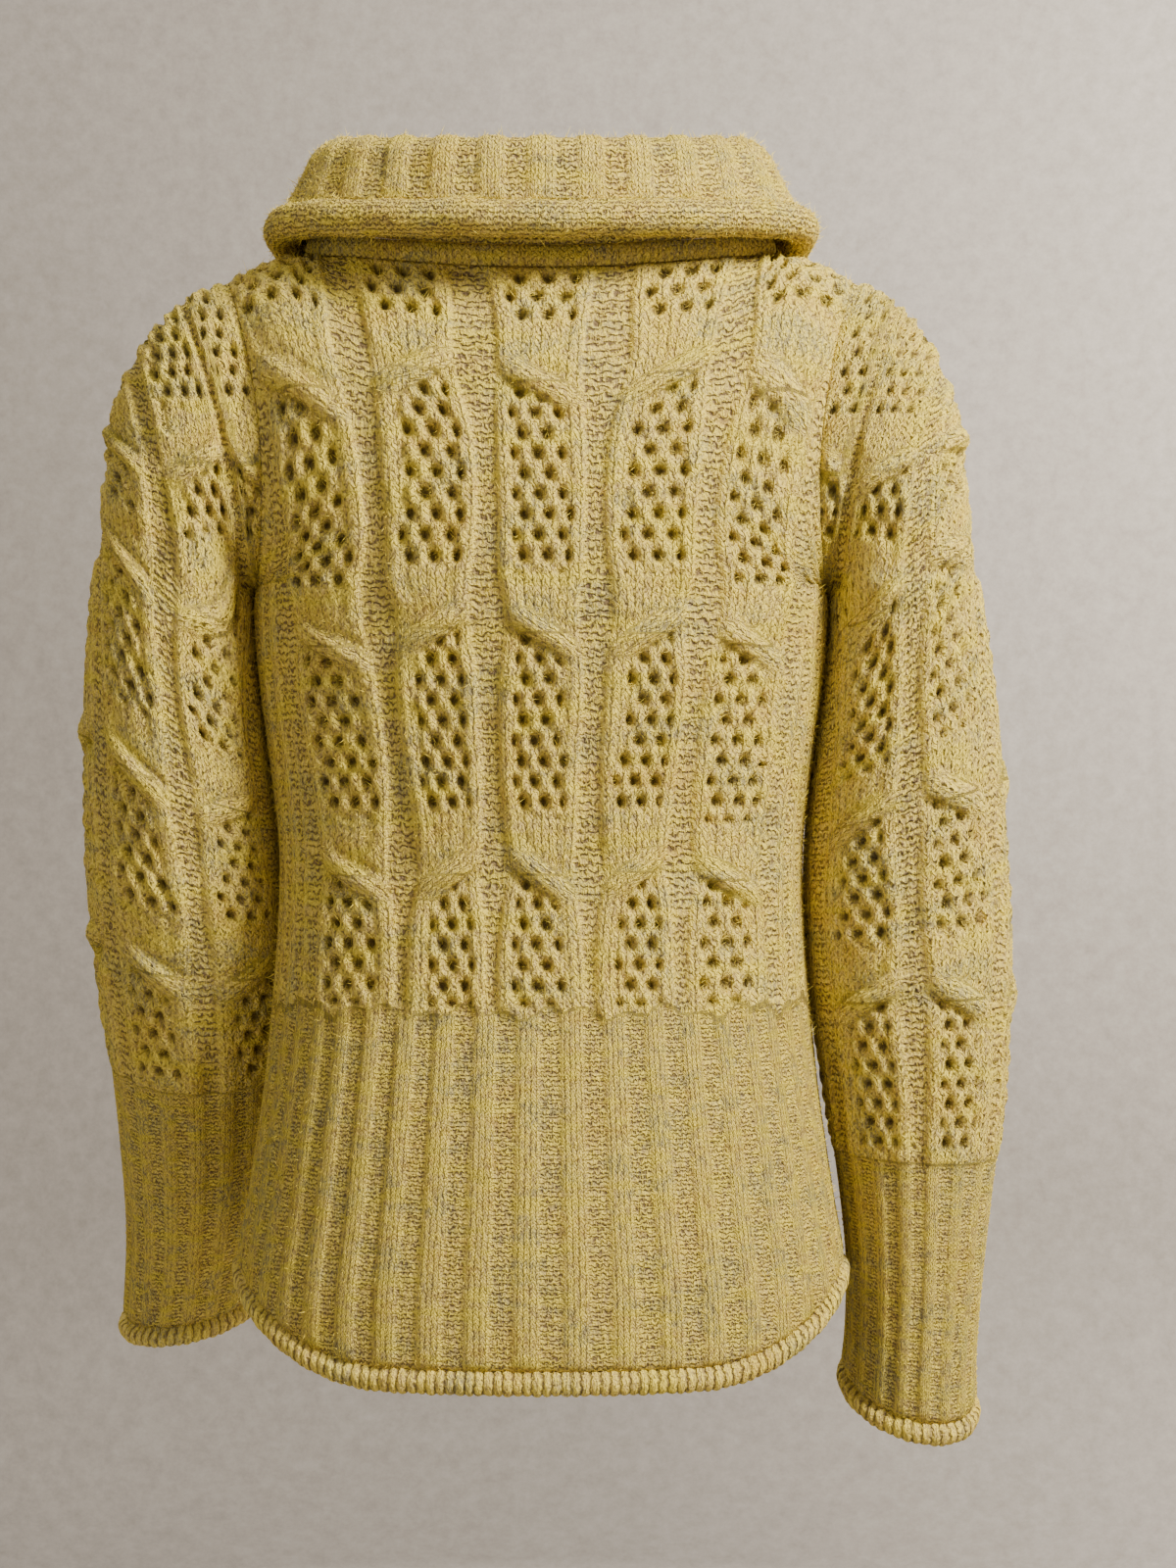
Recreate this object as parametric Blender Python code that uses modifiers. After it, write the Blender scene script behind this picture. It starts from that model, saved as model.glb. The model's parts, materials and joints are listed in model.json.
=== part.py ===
"""Cable knit cardigan with a wide roll collar, in the hollow form it has when it is worn.

The origin is the centre of the neck opening, +Z is up, +Y is the way the wearer faces and +X is the
wearer's right. Each piece that a maker would knit and sew on is one closed wall of its own, 0.3 mm from
its neighbours at the seams. Tables and sizes are in millimetres.
"""

import math

import bmesh
import bpy
import numpy as np

MM = 0.001

# ---- driving dimensions ----
WALL = 3.0  # thickness of the knitted panels
SEAM_GAP = 0.3
UNDERARM_Z = -190.0
BOXY = 0.08  # how much fuller than an ellipse a torso section is

NECK_HALF_WIDTH = 140.0
NECK_BACK_DEPTH = 64.0
NECK_FRONT_DEPTH = 104.0
NECK_BACK_Z = -6.0
NECK_SIDE_Z = 11.0
NECK_FRONT_Z = -91.0
NECK_COLUMNS = 8  # mesh columns of a half panel that end at the neckline
SHOULDER_COLUMNS = 3  # and the ones that end at the shoulder seam
NECK_SHARE = NECK_COLUMNS / (NECK_COLUMNS + SHOULDER_COLUMNS)
SHOULDER_X = 190.0
SHOULDER_Z = -5.0

ARMHOLE_BACK = 52.0  # how far the armhole reaches behind the shoulder seam, and in front of it
ARMHOLE_FRONT = 54.0
ARMHOLE_SCOOP = 14.0  # how far it curves in towards the body

HEM_BACK_Z = -645.0
HEM_SIDE_Z = -597.0
HEM_FRONT_Z = -632.0
HEM_FLAT_SHARE = 0.3  # share of a half panel over which the hem is level

EDGE_HEIGHT = 13.0  # the rolled edge at hem and cuffs
EDGE_THICKNESS = 9.0

BAND_HALF_WIDTH = 15.0  # the button band
BAND_UNDER_REACH = 8.0  # how far the lower band goes on behind the left front

NECK_BAND_HEIGHT = 12.0
NECK_BAND_THICKNESS = 5.0
COLLAR_WALL = 4.0
COLLAR_ROLL_RADIUS = 11.0
COLLAR_END_SHARE = 0.965  # where the collar stops, short of the centre front

BUTTON_COUNT = 6
BUTTON_TOP_Z = -118.0
BUTTON_STEP = 93.0
BUTTON_RADIUS = 10.0
BUTTON_THICKNESS = 3.5

# Torso sections of the outer face.
# z, half width, depth behind the side seam, depth in front of it
TORSO = (
    (-680, 186, 115, 112),
    (-600, 184, 114, 111),
    (-560, 177, 111, 108),
    (-520, 171, 107, 105),
    (-480, 165, 101, 102),
    (-440, 160, 95, 99),
    (-400, 157, 91, 99),
    (-350, 156, 88, 102),
    (-300, 161, 91, 111),
    (-240, 168, 97, 124),
    (-190, 171, 100, 127),
    (-150, 174, 100, 126),
)

# Sleeve rings, from the armhole seam to the edge of the cuff.
# body side x, its z, outer side x, its z, middle y, half depth, forward pitch in degrees
SLEEVE_CAP = (
    (171, -190, 190, -5, 1, 53, 0),
    (176, -191.5, 207, -11, 1, 55, 0),
    (180, -197, 226, -28, 2, 57, 0),
    (181, -208, 243, -54, 3, 58, 0),
    (180, -226, 254, -90, 4, 59, 0),
    (177, -252, 260, -145, 5, 58, 0),
)
SLEEVE_RIGHT = SLEEVE_CAP + (
    (172, -288, 270, -212, 6, 57, 0),
    (167, -330, 279, -290, 7, 56, 0),
    (165, -385, 284, -365, 8, 55, 0),
    (169, -440, 286, -435, 9, 53, 0),
    (177, -500, 283, -500, 10, 49, 0),
    (185, -555, 276, -562, 12, 44, 4),
    (190, -602, 271, -612, 15, 41, 10),
    (190, -645, 268, -658, 19, 40, 18),
    (188, -673, 269, -690, 24, 41, 24),
)
SLEEVE_LEFT = SLEEVE_CAP[:1] + (
    (176, -191.5, 209, -11, 1, 55, 0),
    (180, -197, 230, -28, 2, 57, 0),
    (181, -208, 249, -54, 3, 58, 0),
    (180, -226, 261, -90, 4, 59, 0),
    (177, -252, 267, -145, 5, 58, 0),
    (172, -288, 274, -205, 7, 57, 3),
    (167, -330, 278, -280, 11, 56, 8),
    (162, -385, 279, -355, 24, 55, 15),
    (160, -434, 277, -420, 43, 53, 21),
    (162, -487, 272, -485, 67, 49, 24),
    (169, -542, 270, -545, 92, 45, 24),
    (178, -592, 270, -600, 113, 41, 20),
    (188, -645, 275, -660, 131, 39, 14),
)

# The collar's line from the neck band, up over the fold and down to the roll.
# back out, back up, side out, side up, front out, front up, from the neckline
COLLAR_LINE = (
    (0.0, 12.8, 0.0, 12.8, 0.0, 12.8),
    (-2, 30, -10, 30, 3, 24),
    (-1, 50, -17, 51, 7, 37),
    (4, 65, -20, 64, 12, 46),
    (12, 71, -16, 70, 20, 49),
    (19, 64, -4, 62, 27, 42),
    (22, 50, 4, 47, 31, 28),
)
COLLAR_ROLL_LINE = ((26, 23, 19, 17, 35, 4),)  # middle of the roll, the same columns

SEAM_INSET = 0.0009  # half a side seam's gap, as a share of the panel

# ---- mesh counts ----
BODY_ROWS = 15
YOKE_ROWS = 10
SLEEVE_COLUMNS = 2 * YOKE_ROWS  # so that the armhole's corners meet
SLEEVE_ROWS = 22
EDGE_SIDES = 8
ROLL_SIDES = 10
COLLAR_STEPS = 12
BUTTON_SIDES = 24

YARN = (0.70, 0.57, 0.20)
HORN = (0.32, 0.20, 0.09)


def smooth(at, table, column):
    """A column of a table, read between its rows on a smooth curve through them."""
    keys = np.array([row[0] for row in table], float)
    values = np.array([row[column] for row in table], float)
    slopes = np.gradient(values, keys)
    at = np.clip(at, keys[0], keys[-1])
    low = np.clip(np.searchsorted(keys, at, side="right") - 1, 0, len(keys) - 2)
    step = keys[low + 1] - keys[low]
    t = (at - keys[low]) / step
    rise = t * t * (3 - 2 * t)
    return (
        values[low] * (1 - rise)
        + values[low + 1] * rise
        + step * slopes[low] * t * (1 - t) ** 2
        - step * slopes[low + 1] * t * t * (1 - t)
    )


def ease(t):
    t = np.clip(t, 0, 1)
    return t * t * (3 - 2 * t)


# ---- torso form ----
# g goes round half the body: 0 at the centre back, 1 at the side seam or armhole, 2 at the centre front.
# v goes up: 0 at the hem, 1 at the underarm, 2 at the shoulder seam and neckline.


def hem_z(g):
    level = np.where(g < 1, HEM_BACK_Z, HEM_FRONT_Z)
    share = np.where(g < 1, g, 2 - g)
    return level + (HEM_SIDE_Z - level) * ease((share - HEM_FLAT_SHARE) / (1 - HEM_FLAT_SHARE))


def ring(g, z):
    """x and y of a torso section."""
    angle = g * math.pi / 2
    wide = smooth(z, TORSO, 1)
    deep = np.where(g < 1, smooth(z, TORSO, 2), smooth(z, TORSO, 3))
    sine, cosine = np.sin(angle), np.cos(angle)
    return wide * sine * (1 + BOXY * cosine**2), -deep * cosine * (1 + BOXY * sine**2)


def top_edge(g, w):
    """The neckline and shoulder seam, and a softer line lower down, where the corner between them fades."""
    back = g < 1
    near = np.where(back, g, 2 - g)
    angle = np.clip(near / NECK_SHARE, 0, 1) * math.pi / 2
    along = np.clip((near - NECK_SHARE) / (1 - NECK_SHARE), 0, 1)
    depth = np.where(back, -NECK_BACK_DEPTH, NECK_FRONT_DEPTH)
    low = np.where(back, NECK_BACK_Z, NECK_FRONT_Z)
    x = NECK_HALF_WIDTH * np.sin(angle) + (SHOULDER_X - NECK_HALF_WIDTH) * along
    y = depth * np.cos(angle)
    z = low + (NECK_SIDE_Z - low) * np.sin(angle) ** 2 + (SHOULDER_Z - NECK_SIDE_Z) * along**1.3
    soft_x = SHOULDER_X * (0.25 * near + 0.75 * np.sin(near * math.pi / 2))
    soft_y = depth * (1 - near**2) ** 1.5
    sharp = w**6
    return soft_x + (x - soft_x) * sharp, soft_y + (y - soft_y) * sharp, z


def armhole(g, w):
    """The armhole seam: w is 0 at the underarm and 1 at the shoulder seam."""
    turn = math.pi * w
    reach = np.where(g < 1, -ARMHOLE_BACK, ARMHOLE_FRONT)
    wide = smooth(np.float64(UNDERARM_Z), TORSO, 1)
    rise = (1 - np.cos(turn)) / 2
    x = wide + (SHOULDER_X - wide) * rise - ARMHOLE_SCOOP * np.sin(turn) ** 2
    return x, reach * np.sin(turn), UNDERARM_Z + (SHOULDER_Z - UNDERARM_Z) * rise


def yoke(g, w):
    """The body above the underarm: from the underarm ring up to the top edge. Each level section stops
    at the armhole, so it turns through less of the ellipse the deeper the armhole reaches there."""
    near = np.where(g < 1, g, 2 - g)
    sign = np.where(g < 1, -1.0, 1.0)
    wide = smooth(np.float64(UNDERARM_Z), TORSO, 1)
    deep = np.where(g < 1, *(smooth(np.float64(UNDERARM_Z), TORSO, column) for column in (2, 3)))
    high_x, high_y, high_z = top_edge(g, w)
    hole_x, hole_y, _ = armhole(g, w)
    over = ease((near - 0.4) / 0.45)  # 1 where the panel rounds over the shoulder
    climb = (1 - np.cos(math.pi * w)) / 2
    left = np.sqrt(1 - climb**2)
    ease_in = (1 - over) * w**2.4 + over * (1 - left)
    ease_up = (1 - over) * w + over * climb
    reach = np.clip(np.abs(hole_y) / np.maximum(left, 0.02) / deep, 0, 0.8)
    stop = np.arccos(reach / (1 + BOXY * (1 - reach**2)))
    angle = near * stop
    low_x = wide * np.sin(angle) / np.sin(stop) * (1 + BOXY * (np.cos(angle) ** 2 - np.cos(stop) ** 2))
    low_y = sign * deep * np.cos(angle) * (1 + BOXY * np.sin(angle) ** 2)
    x = low_x + (high_x - low_x) * ease_in
    y = low_y + (high_y - low_y) * ease_in
    z = UNDERARM_Z + (high_z - UNDERARM_Z) * ease_up
    end_y = sign * deep * np.cos(stop) * (1 + BOXY * np.sin(stop) ** 2) * left
    pull = near**4
    x = x + pull * (hole_x - wide - (SHOULDER_X - wide) * (1 - left))
    y = y + pull * (hole_y - end_y)
    return x, y, z


def torso(h, v):
    """Points of the body's outer face. h is g with a sign, minus on the wearer's left."""
    h, v = np.broadcast_arrays(np.asarray(h, float), np.asarray(v, float))
    g = np.abs(h)
    z = hem_z(g) + (UNDERARM_Z - hem_z(g)) * np.minimum(v, 1)
    x, y = ring(g, z)
    up_x, up_y, up_z = yoke(g, np.clip(v - 1, 0, 1))
    above = v > 1
    side = np.where(h < 0, -1.0, 1.0)
    return np.stack([side * np.where(above, up_x, x), np.where(above, up_y, y), np.where(above, up_z, z)], -1)


def slopes_normal(form, a, b, step_a, step_b):
    """Unit normals of a form, from its slopes."""
    along = form(a + step_a, b) - form(a - step_a, b)
    up = form(a, b + step_b) - form(a, b - step_b)
    normal = np.cross(along, up)
    return normal / np.linalg.norm(normal, axis=-1, keepdims=True)


def torso_normal(h, v):
    """Unit normals of the torso form. They are read just inside the ends, where the form stops."""
    h, v = np.broadcast_arrays(np.asarray(h, float), np.asarray(v, float))
    side = np.where(h < 0, -1.0, 1.0)
    g = np.clip(np.abs(h), 0.004, 1.996)
    g = np.where(np.abs(g - 1) < 0.004, np.where(np.abs(h) < 1, 0.996, 1.004), g)
    row = np.where(v > 1, np.clip(v, 1.004, 1.99), np.clip(v, -0.05, 0.996))
    normal = slopes_normal(torso, side * g, row, 0.003, 0.003)
    middle = (np.abs(h) < 0.004) | (np.abs(h) > 1.996)
    normal[..., 0] = np.where(middle, 0, normal[..., 0])
    near = np.where(np.abs(h) < 1, np.abs(h), 2 - np.abs(h))
    at_neck = (v > 1.999) & (near < NECK_SHARE + 0.001)
    normal = np.where(at_neck[..., None], neck_normal(h, near), normal)
    normal[..., 1] = np.where(on_shoulder_seam(h, v), 0, normal[..., 1])
    return normal / np.linalg.norm(normal, axis=-1, keepdims=True)


def neck_normal(h, near):
    """Square to the neckline, leaning out at the centre and up where the shoulder seam meets it."""
    side = np.where(h < 0, -1.0, 1.0)
    turn = np.clip(near / NECK_SHARE, 0, 1) * math.pi / 2
    depth = np.where(np.abs(h) < 1, -NECK_BACK_DEPTH, NECK_FRONT_DEPTH)
    rise = NECK_SIDE_Z - np.where(np.abs(h) < 1, NECK_BACK_Z, NECK_FRONT_Z)
    sine, cosine = np.sin(turn), np.cos(turn)
    along = np.stack([side * NECK_HALF_WIDTH * cosine, -depth * sine, 2 * rise * sine * cosine], -1)
    along /= np.linalg.norm(along, axis=-1, keepdims=True)
    up = 0.45 + 0.46 * sine**2
    out = np.sqrt(1 - up**2)
    lean = np.stack([side * sine * out, np.sign(depth) * cosine * out, up], -1)
    return lean - along * (lean * along).sum(axis=-1, keepdims=True)


def on_shoulder_seam(h, v):
    return (v > 1.999) & (np.abs(np.abs(h) - 1) <= 1 - NECK_SHARE + 0.001)


def torso_layer(h, v, depth):
    """The torso form, set in by a depth and drawn back from the shoulder seam and armhole by half a gap."""
    h, v = np.broadcast_arrays(np.asarray(h, float), np.asarray(v, float))
    points = torso(h, v) - torso_normal(h, v) * depth
    half_gap = np.where(np.abs(h) < 1, -SEAM_GAP / 2, SEAM_GAP / 2)
    points[..., 1] += np.where(on_shoulder_seam(h, v), half_gap, 0)
    at_hole = (v > 0.999) & (np.abs(np.abs(h) - 1) < 0.002)
    for place in zip(*np.nonzero(at_hole)):
        side = -1.0 if h[place] < 0 else 1.0
        w = max(v[place] - 1, 0.0)
        turn = math.pi * (1 - w) if abs(h[place]) < 1 else math.pi * (1 + w)
        inward_step, across = armhole_mitre(side, turn)
        points[place] = torso(h[place], v[place]) - inward_step * depth - across * SEAM_GAP / 2
        if w < 0.001 or w > 0.999:
            points[place][1] += (SEAM_GAP if abs(h[place]) > 1 else -SEAM_GAP) / 2
    return points


def centre_front_share(x, v):
    """h of a line that runs down the front at a distance x from its middle."""
    small = 0.02
    slope = np.abs(torso(np.full_like(v, 2 - small), v)[..., 0]) / small
    return np.where(x < 0, -1.0, 1.0) * (2 - np.abs(x) / slope)


# ---- sleeve form ----


def sleeve(table, side, turn, k):
    """Points of a sleeve's outer face. turn is 0 on top, then goes behind the arm, under it at pi and
    round in front. k counts the table's rows."""
    rows = [(i, *row) for i, row in enumerate(table)]
    turn, k = np.broadcast_arrays(np.asarray(turn, float), np.asarray(k, float))
    in_x, in_z, out_x, out_z, mid_y, deep, pitch = (smooth(k, rows, c) for c in range(1, 8))
    cosine, sine = np.cos(turn), np.sin(turn)
    tilt = np.radians(pitch)
    scoop = ARMHOLE_SCOOP * np.clip(1 - k / 2.5, 0, 1) ** 2 * sine**2
    x = (in_x + out_x) / 2 + cosine * (out_x - in_x) / 2 - scoop
    y = mid_y - deep * sine * np.cos(tilt)
    z = (in_z + out_z) / 2 + cosine * (out_z - in_z) / 2 - deep * sine * np.sin(tilt)
    return np.stack([side * x, y, z], -1)


def sleeve_normal(table, side, turn, k):
    row = np.clip(np.asarray(k, float), 0.05, len(table) - 1.02)
    turn = np.asarray(turn, float)
    return side * slopes_normal(lambda a, b: sleeve(table, side, a, b), turn, row, 0.01, 0.01)


def sleeve_layer(table, side, turn, k, depth):
    points = sleeve(table, side, turn, k) - sleeve_normal(table, side, turn, k) * depth
    at_hole = np.broadcast_to(np.asarray(k, float) < 0.001, points.shape[:-1])
    turn = np.broadcast_to(turn, at_hole.shape)
    for place in zip(*np.nonzero(at_hole)):
        inward_step, across = armhole_mitre(side, turn[place])
        points[place] = sleeve(table, side, turn[place], 0.0) - inward_step * depth + across * SEAM_GAP / 2
    return points


def armhole_mitre(side, turn):
    """For a place on the armhole seam, the step from the outer to the inner face where panel and sleeve
    meet at an angle, for a wall of thickness 1, and the unit direction across the seam to the sleeve."""
    behind = turn <= math.pi
    w = 1 - turn / math.pi if behind else turn / math.pi - 1
    edge = 0.996 if behind else 1.004
    body = torso_normal(side * edge, 1 + min(max(w, 0.02), 0.98))
    arm = sleeve_normal(SLEEVE_CAP, side, turn, 0.0)
    if min(abs(w), abs(1 - w)) < 0.001:  # the side seam and the shoulder seam end here
        body, arm = body * (1, 0, 1), arm * (1, 0, 1)
        body, arm = body / np.linalg.norm(body), arm / np.linalg.norm(arm)
    step = (body + arm) / (1 + max(body @ arm, -0.3))
    along = sleeve(SLEEVE_CAP, side, turn + 0.01, 0.0) - sleeve(SLEEVE_CAP, side, turn - 0.01, 0.0)
    across = np.cross(along, step)
    across /= np.linalg.norm(across)
    outward = sleeve(SLEEVE_CAP, side, turn, 0.2) - sleeve(SLEEVE_CAP, side, turn, 0.0)
    return step, across if across @ outward > 0 else -across


# ---- neckline and collar form ----
# q goes round the neck: 0 at the centre back, 0.5 at the wearer's right side and 1 at the centre front.


def neckline(q):
    """The neckline and, beside it, the level direction that points away from the neck."""
    g = np.abs(q)
    back = g < 0.5
    angle = np.where(back, g, 1 - g) * math.pi
    depth = np.where(back, -NECK_BACK_DEPTH, NECK_FRONT_DEPTH)
    low = np.where(back, NECK_BACK_Z, NECK_FRONT_Z)
    side = np.where(q < 0, -1.0, 1.0)
    x = side * NECK_HALF_WIDTH * np.sin(angle)
    y = depth * np.cos(angle)
    z = low + (NECK_SIDE_Z - low) * np.sin(angle) ** 2
    away = np.stack([x / NECK_HALF_WIDTH**2, y / depth**2, np.zeros_like(x)], -1)
    away /= np.linalg.norm(away, axis=-1, keepdims=True)
    return np.stack([x, y, z], -1), away


def around_neck(q, row):
    """Out and up of one row of a collar table, between its back, side and front columns."""
    g = np.abs(q)
    to_side = ease(g / 0.5)
    to_front = ease((g - 0.5) / 0.5)
    back, side, front = (np.array(row[c : c + 2], float) for c in (0, 2, 4))
    at_side = back + (side - back) * to_side[..., None]
    return at_side + (front - side) * to_front[..., None]


def collar_place(q, row):
    line, away = neckline(q)
    reach = around_neck(q, row)
    up = np.array([0.0, 0.0, 1.0])
    return line + away * reach[..., :1] + up * reach[..., 1:]


def through(points, share):
    """Points at shares of the way along a smooth curve through others; the first axis runs along it."""
    at = share * (len(points) - 1)
    low = min(int(at), len(points) - 2)
    t = at - low
    before = points[max(low - 1, 0)]
    after = points[min(low + 2, len(points) - 1)]
    a, b = points[low], points[low + 1]
    bend = 2 * before - 5 * a + 4 * b - after
    twist = 3 * a - before - 3 * b + after
    return 0.5 * (2 * a + (b - before) * t + bend * t**2 + twist * t**3)


# ---- making solids ----


def collection_named(name):
    made = bpy.data.collections.new(name)
    bpy.context.scene.collection.children.link(made)
    return made


def material(name, colour, roughness):
    made = bpy.data.materials.new(name)
    made.use_nodes = True
    shader = made.node_tree.nodes["Principled BSDF"]
    shader.inputs["Base Color"].default_value = (*colour, 1)
    shader.inputs["Roughness"].default_value = roughness
    return made


def finish(name, mesh, look):
    bmesh.ops.recalc_face_normals(mesh, faces=mesh.faces)
    if mesh.calc_volume(signed=True) < 0:
        bmesh.ops.reverse_faces(mesh, faces=mesh.faces)
    data = bpy.data.meshes.new(name)
    mesh.to_mesh(data)
    mesh.free()
    data.materials.append(look)
    made = bpy.data.objects.new(name, data)
    bpy.data.collections["cardigan"].objects.link(made)
    return made


def wall(name, outer, inner, look, around=False):
    """One closed wall between two grids of points. around joins the last column to the first."""
    mesh = bmesh.new()
    out, ins = ([[mesh.verts.new(p * MM) for p in row] for row in grid] for grid in (outer, inner))
    rows, columns = outer.shape[:2]
    for c in range(columns if around else columns - 1):
        d = (c + 1) % columns
        for r in range(rows - 1):
            mesh.faces.new((out[r][c], out[r][d], out[r + 1][d], out[r + 1][c]))
            mesh.faces.new((ins[r][c], ins[r + 1][c], ins[r + 1][d], ins[r][d]))
        for r in (0, rows - 1):
            mesh.faces.new((out[r][c], ins[r][c], ins[r][d], out[r][d]))
    if not around:
        for c in (0, columns - 1):
            for r in range(rows - 1):
                mesh.faces.new((out[r][c], out[r + 1][c], ins[r + 1][c], ins[r][c]))
    return finish(name, mesh, look)


def roll(name, path, across, up, look, closed=False, sides=EDGE_SIDES):
    """A rounded edge along a path. across and up are its half axes at each point of the path."""
    mesh = bmesh.new()
    turns = [2 * math.pi * (i + 0.5) / sides for i in range(sides)]
    rings = [
        [mesh.verts.new((p + a * math.cos(t) + u * math.sin(t)) * MM) for t in turns]
        for p, a, u in zip(path, across, up)
    ]
    count = len(rings)
    for i in range(count if closed else count - 1):
        first, second = rings[i], rings[(i + 1) % count]
        for s in range(sides):
            e = (s + 1) % sides
            mesh.faces.new((first[s], first[e], second[e], second[s]))
    if not closed:
        mesh.faces.new(rings[0])
        mesh.faces.new(rings[-1])
    return finish(name, mesh, look)


# ---- the pieces ----


def panel_rows():
    """v of the rows of a body panel, closer together over the shoulder."""
    below = np.linspace(0, 1, BODY_ROWS + 1)[:-1]
    above = 1 + np.linspace(0, 1, YOKE_ROWS + 1)
    return np.concatenate([below, above])


def panel_columns(centre_near, side_near):
    """Distances from the centre line of a half panel's columns, with one of them at the neck's corner."""
    neck = np.linspace(centre_near, NECK_SHARE, NECK_COLUMNS + 1)
    return np.concatenate([neck, np.linspace(NECK_SHARE, side_near, SHOULDER_COLUMNS + 1)[1:]])


def make_back(look):
    half = panel_columns(0, 1 - SEAM_INSET)
    h = np.concatenate([-half[:0:-1], half])[None, :]
    rows = panel_rows()[:, None]
    wall("back", torso_layer(h, rows, 0), torso_layer(h, rows, WALL), look)


def make_front(name, side, look):
    rows = panel_rows()
    edge = 2 - np.abs(centre_front_share(np.full_like(rows, BAND_HALF_WIDTH + SEAM_GAP), rows))
    h = side * (2 - np.stack([panel_columns(near, 1 - SEAM_INSET) for near in edge]))
    v = np.broadcast_to(rows[:, None], h.shape)
    wall(name, torso_layer(h, v, 0), torso_layer(h, v, WALL), look)


def make_sleeve(name, table, side, look):
    k = np.linspace(0, len(table) - 1, SLEEVE_ROWS + 1)[:, None]
    turn = np.linspace(0, 2 * math.pi, SLEEVE_COLUMNS, endpoint=False)[None, :]
    outer = sleeve_layer(table, side, turn, k, 0)
    inner = sleeve_layer(table, side, turn, k, WALL)
    wall(name, outer, inner, look, around=True)


def edge_roll(name, rim, normal, down, look, closed=False):
    """The rolled edge under a rim: rim is the outer face's last line, down points off the cloth."""
    middle = rim - normal * (WALL / 2) + down * (EDGE_HEIGHT / 2 * math.cos(math.pi / EDGE_SIDES) + SEAM_GAP)
    roll(name, middle, normal * (EDGE_THICKNESS / 2), down * (EDGE_HEIGHT / 2), look, closed)


def make_hem(name, h, look):
    v = np.zeros_like(h)
    rim = torso_layer(h, v, 0)
    normal = rim - torso_layer(h, v, 1)
    lower = torso_layer(h, v - 0.01, 0) - rim
    down = lower / np.linalg.norm(lower, axis=-1, keepdims=True)
    edge_roll(name, rim, normal, down, look)


def make_cuff(name, table, side, look):
    turn = np.linspace(0, 2 * math.pi, SLEEVE_COLUMNS, endpoint=False)
    last = float(len(table) - 1)
    rim = sleeve_layer(table, side, turn, last, 0)
    normal = rim - sleeve_layer(table, side, turn, last, 1)
    lower = rim - sleeve_layer(table, side, turn, last - 0.1, 0)
    down = np.broadcast_to(lower.mean(axis=0), lower.shape)
    down = down / np.linalg.norm(down, axis=-1, keepdims=True)
    edge_roll(name, rim, normal, down, look, closed=True)


def make_button_band(name, low_x, high_x, low_v, depth, look):
    rows = panel_rows() if low_v == 0 else np.concatenate([[low_v], panel_rows()])
    x = np.linspace(low_x, high_x, 5)
    h = np.stack([centre_front_share(np.full_like(rows, at), rows) for at in x], -1)
    v = np.broadcast_to(rows[:, None], h.shape)
    wall(name, torso_layer(h, v, depth), torso_layer(h, v, depth + WALL), look)


def neck_shares():
    """Places round the neck where the band and the collar have their columns, the panels' own and an end."""
    back = np.linspace(0, 0.5, NECK_COLUMNS + 1)
    near = 2 - np.abs(centre_front_share(np.full(1, BAND_HALF_WIDTH + SEAM_GAP), np.full(1, 2.0)))[0]
    front = np.linspace(0.5, 1 - near / NECK_SHARE / 2, NECK_COLUMNS + 1)
    half = np.concatenate([back, front[1:], [COLLAR_END_SHARE]])
    return np.concatenate([-half[:0:-1], half])


def make_neck_band(look):
    q = neck_shares()
    line, away = neckline(q)
    up = np.array([0.0, 0.0, 1.0])
    skins = []
    for out in (NECK_BAND_THICKNESS / 2, -NECK_BAND_THICKNESS / 2):
        low = line + away * (out - WALL / 2) + up * SEAM_GAP
        high = line + away * out + up * NECK_BAND_HEIGHT
        skins.append(np.stack([low, high]))
    wall("neck_band", *skins, look)


def make_collar(look):
    """The ribbed stand, fold and fall, as one wall."""
    q = neck_shares()
    middle = collar_place(q, COLLAR_ROLL_LINE[0])
    knots = [collar_place(q, row) for row in COLLAR_LINE]
    towards = knots[-1] - middle
    towards /= np.linalg.norm(towards, axis=-1, keepdims=True)
    knots.append(middle + towards * (COLLAR_ROLL_RADIUS + SEAM_GAP))
    line = np.stack([through(knots, i / COLLAR_STEPS) for i in range(COLLAR_STEPS + 1)])
    along_neck = np.gradient(line, axis=1)
    along_line = np.gradient(line, axis=0)
    normal = np.cross(along_neck, along_line)
    normal[0, :, 2] = 0  # so that the lower edge is level
    normal /= np.linalg.norm(normal, axis=-1, keepdims=True)
    half = COLLAR_WALL / 2
    wall("collar", line + normal * half, line - normal * half, look)


def make_collar_roll(look):
    q = neck_shares()
    middle = collar_place(q, COLLAR_ROLL_LINE[0])
    _, away = neckline(q)
    up = np.broadcast_to([0.0, 0.0, 1.0], away.shape)
    roll("collar_roll", middle, away * COLLAR_ROLL_RADIUS, up * COLLAR_ROLL_RADIUS, look, sides=ROLL_SIDES)


def front_row_at(z):
    """v where the centre front is at a height."""
    v = np.linspace(0, 2, 401)
    return np.interp(z, torso(np.full_like(v, 2.0), v)[:, 2], v)


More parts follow.
